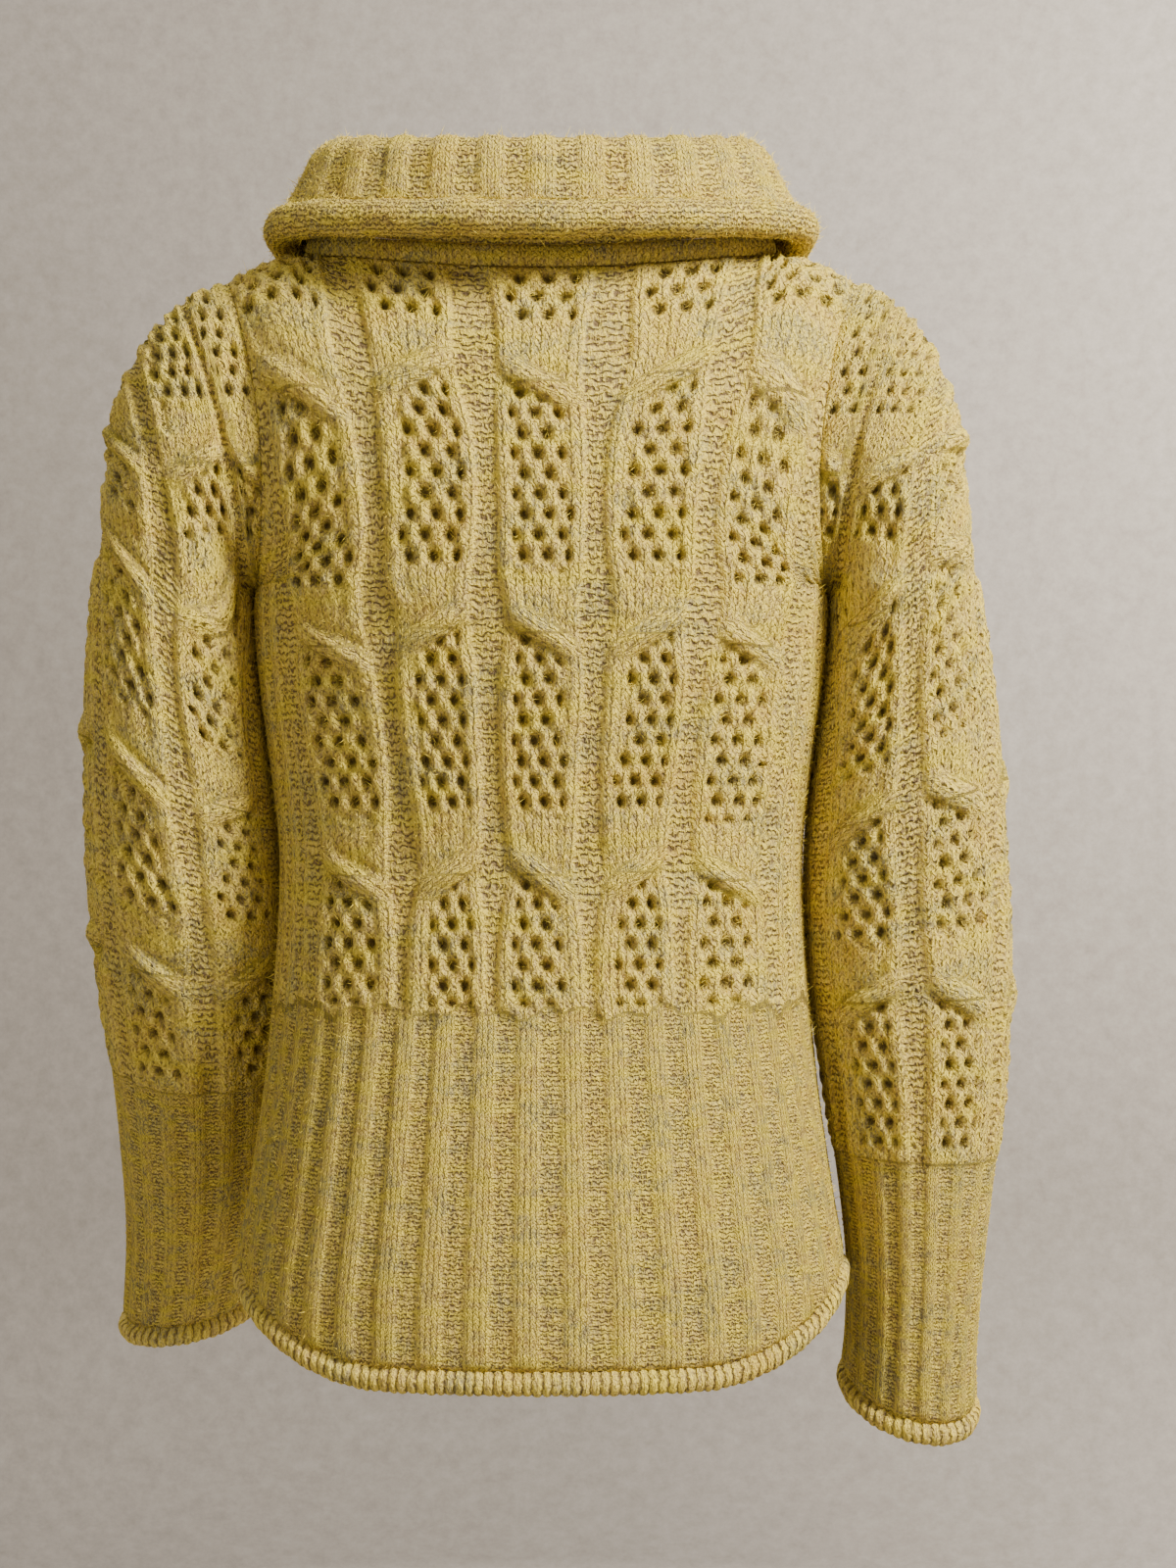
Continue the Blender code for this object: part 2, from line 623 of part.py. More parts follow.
def make_button(name, z, look):
    v = np.array(front_row_at(z))
    place = torso(np.array(2.0), v)
    normal = place - torso_layer(np.array(2.0), v, 1)
    bpy.ops.mesh.primitive_cylinder_add(
        vertices=BUTTON_SIDES, radius=BUTTON_RADIUS * MM, depth=BUTTON_THICKNESS * MM, location=(0, 0, 0)
    )
    made = bpy.context.object
    made.name = name
    made.data.name = name
    bevel = made.modifiers.new("rim", "BEVEL")
    bevel.width = 0.8 * MM
    bevel.segments = 1
    made.location = (place + normal * (BUTTON_THICKNESS / 2 + 1.5 * SEAM_GAP)) * MM
    made.rotation_euler = (-math.atan2(normal[1], normal[2]), 0, 0)
    made.data.materials.append(look)
    for holder in made.users_collection:
        holder.objects.unlink(made)
    bpy.data.collections["cardigan"].objects.link(made)


def build():
    for old in list(bpy.data.objects):
        bpy.data.objects.remove(old)
    collection_named("cardigan")
    yarn = material("brushed wool yarn", YARN, 0.95)
    horn = material("horn button", HORN, 0.45)
    make_back(yarn)
    make_front("front_left", -1, yarn)
    make_front("front_right", 1, yarn)
    make_sleeve("sleeve_left", SLEEVE_LEFT, -1, yarn)
    make_sleeve("sleeve_right", SLEEVE_RIGHT, 1, yarn)
    half = panel_columns(0, 1 - SEAM_INSET)
    make_hem("hem_back", np.concatenate([-half[:0:-1], half]), yarn)
    edge = 2 - np.abs(centre_front_share(np.full(1, BAND_HALF_WIDTH + 2 * SEAM_GAP), np.zeros(1)))[0]
    for name, side in (("hem_front_left", -1), ("hem_front_right", 1)):
        make_hem(name, side * (2 - panel_columns(edge, 1 - SEAM_INSET)), yarn)
    make_cuff("cuff_left", SLEEVE_LEFT, -1, yarn)
    make_cuff("cuff_right", SLEEVE_RIGHT, 1, yarn)
    make_button_band("button_band_right", -BAND_HALF_WIDTH, BAND_HALF_WIDTH, -0.032, 0, yarn)
    under_left = -BAND_HALF_WIDTH - BAND_UNDER_REACH
    make_button_band("button_band_left", under_left, BAND_HALF_WIDTH - 2, 0, WALL + 1.5 * SEAM_GAP, yarn)
    make_neck_band(yarn)
    make_collar(yarn)
    make_collar_roll(yarn)
    for i in range(BUTTON_COUNT):
        make_button(f"button_{i + 1}", BUTTON_TOP_Z - i * BUTTON_STEP, horn)


build()
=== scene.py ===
"""Looks of the cable knit cardigan: brushed wool with cables, lace, ribs and rolled edges, and horn buttons.

The frame is the CAD model's. Tables and sizes of the garment are in millimetres; meshes are in metres.
"""

import json
import math

import bpy
import numpy as np
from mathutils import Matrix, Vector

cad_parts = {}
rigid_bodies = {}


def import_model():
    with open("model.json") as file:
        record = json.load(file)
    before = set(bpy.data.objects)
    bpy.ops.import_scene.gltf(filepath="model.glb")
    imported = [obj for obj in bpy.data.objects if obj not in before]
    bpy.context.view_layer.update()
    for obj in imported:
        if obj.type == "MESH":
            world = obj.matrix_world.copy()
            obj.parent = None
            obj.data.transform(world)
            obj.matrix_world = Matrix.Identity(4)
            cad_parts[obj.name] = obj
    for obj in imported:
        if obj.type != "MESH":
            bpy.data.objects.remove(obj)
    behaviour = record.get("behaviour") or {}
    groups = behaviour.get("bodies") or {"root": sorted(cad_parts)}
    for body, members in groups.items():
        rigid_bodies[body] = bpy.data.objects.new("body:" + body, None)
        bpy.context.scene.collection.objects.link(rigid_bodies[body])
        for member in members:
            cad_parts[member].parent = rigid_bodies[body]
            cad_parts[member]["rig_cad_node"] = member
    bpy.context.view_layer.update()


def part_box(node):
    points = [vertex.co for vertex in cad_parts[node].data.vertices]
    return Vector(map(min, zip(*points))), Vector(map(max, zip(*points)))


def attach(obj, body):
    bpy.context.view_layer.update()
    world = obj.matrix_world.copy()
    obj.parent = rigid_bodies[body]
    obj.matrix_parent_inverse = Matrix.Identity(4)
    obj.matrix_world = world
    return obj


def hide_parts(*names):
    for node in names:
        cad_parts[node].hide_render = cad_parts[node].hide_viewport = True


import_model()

bl_info = {
    "name": "Cable knit cardigan",
    "version": (1, 0, 0),
    "blender": (4, 5, 0),
    "location": "3D View > Sidebar > Cardigan",
    "description": "Builds a brushed wool cardigan with cables, lace columns and rolled edges",
    "category": "Object",
}

MM = 0.001

# ---- form of the garment, as in the CAD ----
WALL = 3.0
SEAM_GAP = 0.1  # the outer faces of two sewn pieces nearly touch
UNDERARM_Z = -190.0
BOXY = 0.08
NECK_HALF_WIDTH = 140.0
NECK_BACK_DEPTH = 64.0
NECK_FRONT_DEPTH = 104.0
NECK_BACK_Z = -6.0
NECK_SIDE_Z = 11.0
NECK_FRONT_Z = -91.0
NECK_SHARE = 8 / 11  # share of a half panel's top that is neckline
SHOULDER_X = 190.0
SHOULDER_Z = -5.0
ARMHOLE_BACK = 52.0
ARMHOLE_FRONT = 54.0
ARMHOLE_SCOOP = 14.0
HEM_BACK_Z = -645.0
HEM_SIDE_Z = -597.0
HEM_FRONT_Z = -632.0
HEM_FLAT_SHARE = 0.3
EDGE_HEIGHT = 13.0
EDGE_THICKNESS = 9.0
EDGE_DROP = 6.3  # from a rim to the middle of its rolled edge
BAND_HALF_WIDTH = 15.0
BAND_UNDER_REACH = 8.0
BAND_FOOT = -0.032
NECK_BAND_HEIGHT = 12.0
NECK_BAND_THICKNESS = 5.0
NECK_BAND_LUMP = 4.8  # pitch of its stitches
COLLAR_WALL = 4.0
COLLAR_ROLL_RADIUS = 11.0
COLLAR_END_SHARE = 0.965
BUTTON_COUNT = 6
SEAM_INSET = 0.0009

# z, half width, depth behind the side seam, depth in front of it
TORSO = (
    (-680, 186, 115, 112),
    (-600, 184, 114, 111),
    (-560, 177, 111, 108),
    (-520, 171, 107, 105),
    (-480, 165, 101, 102),
    (-440, 160, 95, 99),
    (-400, 157, 91, 99),
    (-350, 156, 88, 102),
    (-300, 161, 91, 111),
    (-240, 168, 97, 124),
    (-190, 171, 100, 127),
    (-150, 174, 100, 126),
)
# body side x, its z, outer side x, its z, middle y, half depth, forward pitch in degrees
SLEEVE_CAP = (
    (171, -190, 190, -5, 1, 53, 0),
    (176, -191.5, 207, -11, 1, 55, 0),
    (180, -197, 226, -28, 2, 57, 0),
    (181, -208, 243, -54, 3, 58, 0),
    (180, -226, 254, -90, 4, 59, 0),
    (177, -252, 260, -145, 5, 58, 0),
)
SLEEVE_RIGHT = SLEEVE_CAP + (
    (172, -288, 270, -212, 6, 57, 0),
    (167, -330, 279, -290, 7, 56, 0),
    (165, -385, 284, -365, 8, 55, 0),
    (169, -440, 286, -435, 9, 53, 0),
    (177, -500, 283, -500, 10, 49, 0),
    (185, -555, 276, -562, 12, 44, 4),
    (190, -602, 271, -612, 15, 41, 10),
    (190, -645, 268, -658, 19, 40, 18),
    (188, -673, 269, -690, 24, 41, 24),
)
SLEEVE_LEFT = SLEEVE_CAP[:1] + (
    (176, -191.5, 209, -11, 1, 55, 0),
    (180, -197, 230, -28, 2, 57, 0),
    (181, -208, 249, -54, 3, 58, 0),
    (180, -226, 261, -90, 4, 59, 0),
    (177, -252, 267, -145, 5, 58, 0),
    (172, -288, 274, -205, 7, 57, 3),
    (167, -330, 278, -280, 11, 56, 8),
    (162, -385, 279, -355, 24, 55, 15),
    (160, -434, 277, -420, 43, 53, 21),
    (162, -487, 272, -485, 67, 49, 24),
    (169, -542, 270, -545, 92, 45, 24),
    (178, -592, 270, -600, 113, 41, 20),
    (188, -645, 275, -660, 131, 39, 14),
)
# back out, back up, side out, side up, front out, front up, from the neckline
COLLAR_LINE = (
    (0.0, 12.8, 0.0, 12.8, 0.0, 12.8),
    (-2, 30, -10, 30, 3, 24),
    (-1, 50, -17, 51, 7, 37),
    (4, 65, -20, 64, 12, 46),
    (12, 71, -16, 70, 20, 49),
    (19, 64, -4, 62, 27, 42),
    (22, 50, 4, 47, 31, 28),
)
COLLAR_ROLL_LINE = (26, 23, 19, 17, 35, 4)

# ---- the knitted pattern ----
STITCH = 4.6  # width of a stitch
ROW = 4.425  # height of a row
RIB_ROW = 2.6  # height of a row in the ribbing
HEM_UP = -HEM_BACK_Z  # heights in the pattern count from the back hem
UNDERARM_UP = HEM_UP + UNDERARM_Z
TOP_UP = HEM_UP - 6  # height of the neckline at the back
RIB_TOP = 203.0  # the ribbing ends here and the lace columns begin
PAST_SIDE = 190.0  # a whole share past the side of a panel
RIB_PITCH = 0.0914  # in shares of a half panel
RIB_SHIFT = 0.027
RIB_RISE = 1.8
LACE_RISE = 2.1
EYELET_ROW = 11.8
EYELET_DEPTH = 4.2
CROSS_REACH = 20.0  # a crossing starts and ends this far above and below its middle
STRAND_IN = 4.0  # from a column's edge to the middle of its edge rib
STRAND_WIDTH = 4.6
LACE_STOPS = (6.0, 9.5)  # from the upper strand of a crossing to the lace below it
LACE_STARTS = (31, 37)  # from the middle of a crossing up to the lace above it
LACE_STAGGER = 0.42  # how far each row of holes is moved from the next, in shares of a hole's pitch
EYELET_HALF = (3.0, 3.8)  # width and height
COLUMN_STITCHES = 4.5  # in half a column
GUTTER_STITCHES = 1.5  # in half a gutter
BACK_CROSSINGS = (284.0, 424.0, 569.0)
OUTER_CROSSINGS = (281.0, 414.0, 554.0)
SLEEVE_CROSSINGS = {1: (123.0, 197.0, 325.0, 440.0), -1: (118.0, 196.0, 312.0, 427.0)}
SLEEVE_RIB_TOP = {1: 537.0, -1: 502.0}  # height below the shoulder at which the ribbing starts
SLEEVE_MIDDLES = {1: 65.0, -1: 73.0}  # where round the sleeve one lace column lies, in degrees
SLEEVE_STRAIGHT = 6  # above this row of the sleeve's table its columns run straight up
PERIOD = 2 * (COLUMN_STITCHES + GUTTER_STITCHES)  # stitches from one column to the next
DEEPEST = -2.3  # so that the fabric stays outside the inner face
RIM_LEVEL = -0.9  # of the fabric where it meets a rolled edge
RIM_FADE = 3.5
COLLAR_RIB = 29.0  # pitch of the collar's ribs
NUB = 5.5  # width of one nub of a rolled edge

# ---- fineness of the meshes ----
SHARE = 4  # fine steps outside to a coarse step inside
RIB_ROWS = 45
LACE_ROWS = 301
BACK_COLUMNS = 133  # in half the back
FRONT_COLUMNS = 121
SLEEVE_RIB_ROWS = 33
SLEEVE_LACE_ROWS = 297
SLEEVE_COLUMNS = 200
EDGE_COLUMNS = 290  # in the hem of a half panel
CUFF_COLUMNS = 296
EDGE_TURNS = 18
NECK_BAND_COLUMNS = 281  # in half of it, as for the collar and its roll
NECK_BAND_ROWS = 9
COLLAR_COLUMNS = 257
COLLAR_STEPS = 48
COLLAR_ROLL_COLUMNS = 301
COLLAR_ROLL_TURNS = 26
BAND_COLUMNS = 29
NAP_COUNTS = {"back": 7000, "front": 2500, "sleeve": 9000, "collar": 4000, "collar_roll": 3000}
NAP_LARGEST_FACE = 2.2e-5  # in square metres; larger faces are on the inner side

FLOOR_Z = -1.7  # in metres

# v, then the middles of the purl gutters, in shares of a half panel; above 1 they have run past its side
GUTTERS = (
    (0.0, 0.110, 0.320, 0.620),
    (0.43, 0.108, 0.320, 0.620),
    (0.60, 0.105, 0.322, 0.635),
    (0.80, 0.106, 0.330, 0.655),
    (1.00, 0.112, 0.360, 0.700),
    (1.15, 0.122, 0.400, 0.760),
    (1.30, 0.136, 0.450, 0.850),
    (1.45, 0.150, 0.490, 0.960),
    (1.64, 0.166, 0.525, 1.060),
    (1.80, 0.160, 0.520, 1.120),
    (2.00, 0.152, 0.512, 1.160),
)
# height, half width of a gutter
GUTTER_HALF = (
    (150, 6.0), (262, 6.2), (284, 9.5), (305, 8.0), (360, 6.2), (400, 7.2),
    (428, 11.0), (470, 7.2), (540, 8.4), (575, 13.6), (615, 12.6), (660, 11.5),
)
SLEEVE_GUTTER_HALF = (
    (60, 7.0), (110, 7.0), (190, 9.5), (240, 6.5), (330, 8.5), (380, 6.0), (440, 8.0), (500, 5.5), (700, 5.5),
)


def smooth(at, table, column):
    """A column of a table, read between its rows on a smooth curve through them."""
    keys = np.array([row[0] for row in table], float)
    values = np.array([row[column] for row in table], float)
    slopes = np.gradient(values, keys)
    at = np.clip(at, keys[0], keys[-1])
    low = np.clip(np.searchsorted(keys, at, side="right") - 1, 0, len(keys) - 2)
    step = keys[low + 1] - keys[low]
    t = (at - keys[low]) / step
    rise = t * t * (3 - 2 * t)
    return (
        values[low] * (1 - rise)
        + values[low + 1] * rise
        + step * slopes[low] * t * (1 - t) ** 2
        - step * slopes[low + 1] * t * t * (1 - t)
    )


def ease(t):
    """Goes smoothly from 0 to 1 and is held at both ends."""
    t = np.clip(t, 0, 1)
    return t * t * (3 - 2 * t)


def between(value, low, high):
    """Rises smoothly from 0 at low to 1 at high."""
    return ease((value - low) / (high - low))


def hump(distance, width, power=2.0):
    """1 in the middle, falling away to 0 at both sides."""
    return np.exp(-np.abs(distance / width) ** power)


def unit(vectors):
    return vectors / np.linalg.norm(vectors, axis=-1, keepdims=True)


def from_centre(g):
    """Share of a half panel from the centre line of the back or of the front."""
    return np.where(g < 1, g, 2 - g)


def neck_sides(back):
    """Depth and lowest height of the neckline, behind or in front."""
    depth = np.where(back, -NECK_BACK_DEPTH, NECK_FRONT_DEPTH)
    return depth, np.where(back, NECK_BACK_Z, NECK_FRONT_Z)


def side_of(value):
    """-1 on the wearer's left and 1 on the right."""
    return np.where(value < 0, -1.0, 1.0)


# ---- torso form ----


def hem_z(g):
    """Height of the hem's rim; g is 0 at the centre back, 1 at the side and 2 at the centre front."""
    level = np.where(g < 1, HEM_BACK_Z, HEM_FRONT_Z)
    return level + (HEM_SIDE_Z - level) * ease((from_centre(g) - HEM_FLAT_SHARE) / (1 - HEM_FLAT_SHARE))


def ring(g, z):
    """The body's outline at a height below the underarm."""
    angle = g * math.pi / 2
    wide = smooth(z, TORSO, 1)
    deep = np.where(g < 1, smooth(z, TORSO, 2), smooth(z, TORSO, 3))
    sine, cosine = np.sin(angle), np.cos(angle)
    return wide * sine * (1 + BOXY * cosine**2), -deep * cosine * (1 + BOXY * sine**2)


def top_edge(g, w):
    """Neckline and shoulder; w goes from 0 at the underarm to 1 up here and sharpens the corner."""
    near = from_centre(g)
    angle = np.clip(near / NECK_SHARE, 0, 1) * math.pi / 2
    along = np.clip((near - NECK_SHARE) / (1 - NECK_SHARE), 0, 1)
    depth, low = neck_sides(g < 1)
    x = NECK_HALF_WIDTH * np.sin(angle) + (SHOULDER_X - NECK_HALF_WIDTH) * along
    y = depth * np.cos(angle)
    z = low + (NECK_SIDE_Z - low) * np.sin(angle) ** 2 + (SHOULDER_Z - NECK_SIDE_Z) * along**1.3
    soft_x = SHOULDER_X * (0.25 * near + 0.75 * np.sin(near * math.pi / 2))
    soft_y = depth * (1 - near**2) ** 1.5
    sharp = w**6
    return soft_x + (x - soft_x) * sharp, soft_y + (y - soft_y) * sharp, z


CHEST_WIDE, CHEST_BEHIND, CHEST_BEFORE = (smooth(np.float64(UNDERARM_Z), TORSO, i) for i in (1, 2, 3))


def armhole(g, w):
    turn = math.pi * w
    reach = np.where(g < 1, -ARMHOLE_BACK, ARMHOLE_FRONT)
    rise = (1 - np.cos(turn)) / 2
    x = CHEST_WIDE + (SHOULDER_X - CHEST_WIDE) * rise - ARMHOLE_SCOOP * np.sin(turn) ** 2
    return x, reach * np.sin(turn), UNDERARM_Z + (SHOULDER_Z - UNDERARM_Z) * rise


def yoke(g, w):
    """The body above the underarm, between the armholes and the neckline."""
    near = from_centre(g)
    sign = np.where(g < 1, -1.0, 1.0)
    wide = CHEST_WIDE
    deep = np.where(g < 1, CHEST_BEHIND, CHEST_BEFORE)
    high_x, high_y, high_z = top_edge(g, w)
    hole_x, hole_y, _ = armhole(g, w)
    over = ease((near - 0.4) / 0.45)
    climb = (1 - np.cos(math.pi * w)) / 2
    left = np.sqrt(1 - climb**2)
    ease_in = (1 - over) * w**2.4 + over * (1 - left)
    ease_up = (1 - over) * w + over * climb
    reach = np.clip(np.abs(hole_y) / np.maximum(left, 0.02) / deep, 0, 0.8)
    stop = np.arccos(reach / (1 + BOXY * (1 - reach**2)))
    angle = near * stop
    low_x = wide * np.sin(angle) / np.sin(stop) * (1 + BOXY * (np.cos(angle) ** 2 - np.cos(stop) ** 2))
    low_y = sign * deep * np.cos(angle) * (1 + BOXY * np.sin(angle) ** 2)
    x = low_x + (high_x - low_x) * ease_in
    y = low_y + (high_y - low_y) * ease_in
    z = UNDERARM_Z + (high_z - UNDERARM_Z) * ease_up
    end_y = sign * deep * np.cos(stop) * (1 + BOXY * np.sin(stop) ** 2) * left
    pull = near**4
    x = x + pull * (hole_x - wide - (SHOULDER_X - wide) * (1 - left))
    y = y + pull * (hole_y - end_y)
    return x, y, z


def torso(h, v):
    """Points of the body's outer face. h is 0 at the centre back, 1 at the wearer's right side and 2 at the
    centre front, with a minus on the left; v is 0 at the hem, 1 at the underarm and 2 at the shoulder."""
    h, v = np.broadcast_arrays(np.asarray(h, float), np.asarray(v, float))
    g = np.abs(h)
    z = hem_z(g) + (UNDERARM_Z - hem_z(g)) * np.minimum(v, 1)
    x, y = ring(g, z)
    up_x, up_y, up_z = yoke(g, np.clip(v - 1, 0, 1))
    above = v > 1
    x, y, z = np.where(above, up_x, x), np.where(above, up_y, y), np.where(above, up_z, z)
    return np.stack([side_of(h) * x, y, z], -1)


def slopes_normal(form, a, b, step_a, step_b):
    """The direction square to a form at its parameters a and b."""
    along = form(a + step_a, b) - form(a - step_a, b)
    up = form(a, b + step_b) - form(a, b - step_b)
    return unit(np.cross(along, up))


def torso_normal(h, v):
    """The outward direction of the body's outer face, kept level at its seams so that both sides agree."""
    h, v = np.broadcast_arrays(np.asarray(h, float), np.asarray(v, float))
    g = np.clip(np.abs(h), 0.004, 1.996)
    g = np.where(np.abs(g - 1) < 0.004, np.where(np.abs(h) < 1, 0.996, 1.004), g)
    row = np.where(v > 1, np.clip(v, 1.004, 1.99), np.clip(v, -0.05, 0.996))
    normal = slopes_normal(torso, side_of(h) * g, row, 0.003, 0.003)
    middle = (np.abs(h) < 0.004) | (np.abs(h) > 1.996)
    normal[..., 0] = np.where(middle, 0, normal[..., 0])
    near = from_centre(np.abs(h))
    at_neck = (v > 1.999) & (near < NECK_SHARE + 0.001)
    normal = np.where(at_neck[..., None], neck_normal(h, near), normal)
    normal[..., 1] = np.where(on_shoulder_seam(h, v), 0, normal[..., 1])
    return unit(normal)


def neck_normal(h, near):
    """The outward direction along the neckline, where the body's edge leans up."""
    side = side_of(h)
    turn = np.clip(near / NECK_SHARE, 0, 1) * math.pi / 2
    depth, low = neck_sides(np.abs(h) < 1)
    rise = NECK_SIDE_Z - low
    sine, cosine = np.sin(turn), np.cos(turn)
    along = unit(np.stack([side * NECK_HALF_WIDTH * cosine, -depth * sine, 2 * rise * sine * cosine], -1))
    up = 0.45 + 0.46 * sine**2
    out = np.sqrt(1 - up**2)
    lean = np.stack([side * sine * out, np.sign(depth) * cosine * out, up], -1)
    return lean - along * (lean * along).sum(axis=-1, keepdims=True)


def on_shoulder_seam(h, v):
    return (v > 1.999) & (np.abs(np.abs(h) - 1) <= 1 - NECK_SHARE + 0.001)


def torso_layer(h, v, depth):
    """The torso form set in by a depth, which may differ from point to point, with its seams drawn back."""
    h, v, depth = np.broadcast_arrays(*(np.asarray(values, float) for values in (h, v, depth)))
    points = torso(h, v) - torso_normal(h, v) * depth[..., None]
    half_gap = np.where(np.abs(h) < 1, -SEAM_GAP / 2, SEAM_GAP / 2)
    points[..., 1] += np.where(on_shoulder_seam(h, v), half_gap, 0)
    at_hole = (v > 0.999) & (np.abs(np.abs(h) - 1) < 0.002)
    for place in zip(*np.nonzero(at_hole)):
        side = -1.0 if h[place] < 0 else 1.0
        w = max(v[place] - 1, 0.0)
        turn = math.pi * (1 - w) if abs(h[place]) < 1 else math.pi * (1 + w)
        step, across = armhole_mitre(side, turn)
        points[place] = torso(h[place], v[place]) - step * depth[place] - across * SEAM_GAP / 2
    return points


def centre_front_share(x, v):
    """The h of places beside the centre front, from their x in millimetres."""
    small = 0.02
    slope = np.abs(torso(np.full_like(v, 2 - small), v)[..., 0]) / small
    return side_of(x) * (2 - np.abs(x) / slope)


# ---- sleeve form ----


def numbered(table):
    return [(i, *row) for i, row in enumerate(table)]


def sleeve(table, side, turn, k):
    """Points of a sleeve's outer face. turn is 0 on top, then goes behind the arm and under it at pi; k
    counts the rows of the table."""
    rows = numbered(table)
    turn, k = np.broadcast_arrays(np.asarray(turn, float), np.asarray(k, float))
    in_x, in_z, out_x, out_z, mid_y, deep, pitch = (smooth(k, rows, c) for c in range(1, 8))
    cosine, sine = np.cos(turn), np.sin(turn)
    tilt = np.radians(pitch)
    scoop = ARMHOLE_SCOOP * np.clip(1 - k / 2.5, 0, 1) ** 2 * sine**2
    x = (in_x + out_x) / 2 + cosine * (out_x - in_x) / 2 - scoop
    y = mid_y - deep * sine * np.cos(tilt)
    z = (in_z + out_z) / 2 + cosine * (out_z - in_z) / 2 - deep * sine * np.sin(tilt)
    return np.stack([side * x, y, z], -1)


def sleeve_normal(table, side, turn, k):
    row = np.clip(np.asarray(k, float), 0.05, len(table) - 1.02)
    turn = np.asarray(turn, float)
    return side * slopes_normal(lambda a, b: sleeve(table, side, a, b), turn, row, 0.01, 0.01)


def sleeve_layer(table, side, turn, k, depth):
    """The sleeve's form set in by a depth, with its edge at the armhole drawn back."""
    turn, k, depth = np.broadcast_arrays(*(np.asarray(values, float) for values in (turn, k, depth)))
    points = sleeve(table, side, turn, k) - sleeve_normal(table, side, turn, k) * depth[..., None]
    for place in zip(*np.nonzero(k < 0.001)):
        step, across = armhole_mitre(side, turn[place])
        points[place] = sleeve(table, side, turn[place], 0.0) - step * depth[place] + across * SEAM_GAP / 2
    return points


def armhole_mitre(side, turn):
    """How body and sleeve are set in together along the armhole seam, and the way across the seam."""
    behind = turn <= math.pi
    w = 1 - turn / math.pi if behind else turn / math.pi - 1
    edge = 0.996 if behind else 1.004
    body = torso_normal(side * edge, 1 + min(max(w, 0.02), 0.98))
    arm = sleeve_normal(SLEEVE_CAP, side, turn, 0.0)
    step = (body + arm) / (1 + max(body @ arm, -0.3))
    along = sleeve(SLEEVE_CAP, side, turn + 0.01, 0.0) - sleeve(SLEEVE_CAP, side, turn - 0.01, 0.0)
    across = unit(np.cross(along, step))
    outward = sleeve(SLEEVE_CAP, side, turn, 0.2) - sleeve(SLEEVE_CAP, side, turn, 0.0)
    return step, across if across @ outward > 0 else -across


# ---- neck form ----


def neckline(q):
    """The neckline and the level direction away from the neck; q is 0 at the back and 1 at the front."""
    g = np.abs(q)
    back = g < 0.5
    angle = np.where(back, g, 1 - g) * math.pi
    depth, low = neck_sides(back)
    x = side_of(q) * NECK_HALF_WIDTH * np.sin(angle)
    y = depth * np.cos(angle)
    z = low + (NECK_SIDE_Z - low) * np.sin(angle) ** 2
    away = np.stack([x / NECK_HALF_WIDTH**2, y / depth**2, np.zeros_like(x)], -1)
    return np.stack([x, y, z], -1), unit(away)


def around_neck(q, row):
    """Out and up from the neckline, eased from the values behind to those beside and in front."""
    g = np.abs(q)
    to_side = ease(g / 0.5)
    to_front = ease((g - 0.5) / 0.5)
    back, side, front = (np.array(row[c : c + 2], float) for c in (0, 2, 4))
    at_side = back + (side - back) * to_side[..., None]
    return at_side + (front - side) * to_front[..., None]


def collar_place(q, row):
    line, away = neckline(q)
    reach = around_neck(q, row)
    return line + away * reach[..., :1] + np.array([0.0, 0.0, 1.0]) * reach[..., 1:]


def through(points, share):
    """Points at shares of the way along a smooth curve through others."""
    at = share * (len(points) - 1)
    low = min(int(at), len(points) - 2)
    t = at - low
    before = points[max(low - 1, 0)]
    after = points[min(low + 2, len(points) - 1)]
    a, b = points[low], points[low + 1]
    bend = 2 * before - 5 * a + 4 * b - after
    twist = 3 * a - before - 3 * b + after
    return 0.5 * (2 * a + (b - before) * t + bend * t**2 + twist * t**3)


# ---- meshes ----


def lengths(points, axis):
    """Distance along rows (axis 1) or columns (axis 0) of a grid of points, from its start."""
    steps = np.linalg.norm(np.diff(points, axis=axis), axis=-1)
    start = np.zeros_like(np.take(steps, [0], axis=axis))
    return np.concatenate([start, np.cumsum(steps, axis=axis)], axis=axis)


def even_shares(line, low, high, count):
    """Parameters between low and high that are evenly spaced along a line of points."""
    fine = np.linspace(low, high, 2000)
    length = lengths(line(fine)[None], 1)[0]
    return np.interp(np.linspace(0, length[-1], count), length, fine)


def corners_of(grid, turned=False):
    """The values of a grid at the four corners of each of its faces, in their order round the face."""
    corners = [grid[:-1, :-1], grid[:-1, 1:], grid[1:, 1:], grid[1:, :-1]]
    return np.stack(corners[::-1] if turned else corners, 2)


def grid_faces(rows, columns, start, around, turned):
    """Corner indices of the quads between the points of a grid."""
    index = start + np.arange(rows * columns).reshape(rows, columns)
    if around:
        index = np.concatenate([index, index[:, :1]], axis=1)
    return corners_of(index, turned).reshape(-1, 4), index


def rim_faces(fine, coarse, turned):
    """Faces that join a fine edge to a coarse one."""
    faces = []
    for i in range(len(coarse) - 1):
        face = [coarse[i + 1], coarse[i], *fine[i * SHARE : (i + 1) * SHARE + 1]]
        faces.append(face[::-1] if turned else face)
    return faces


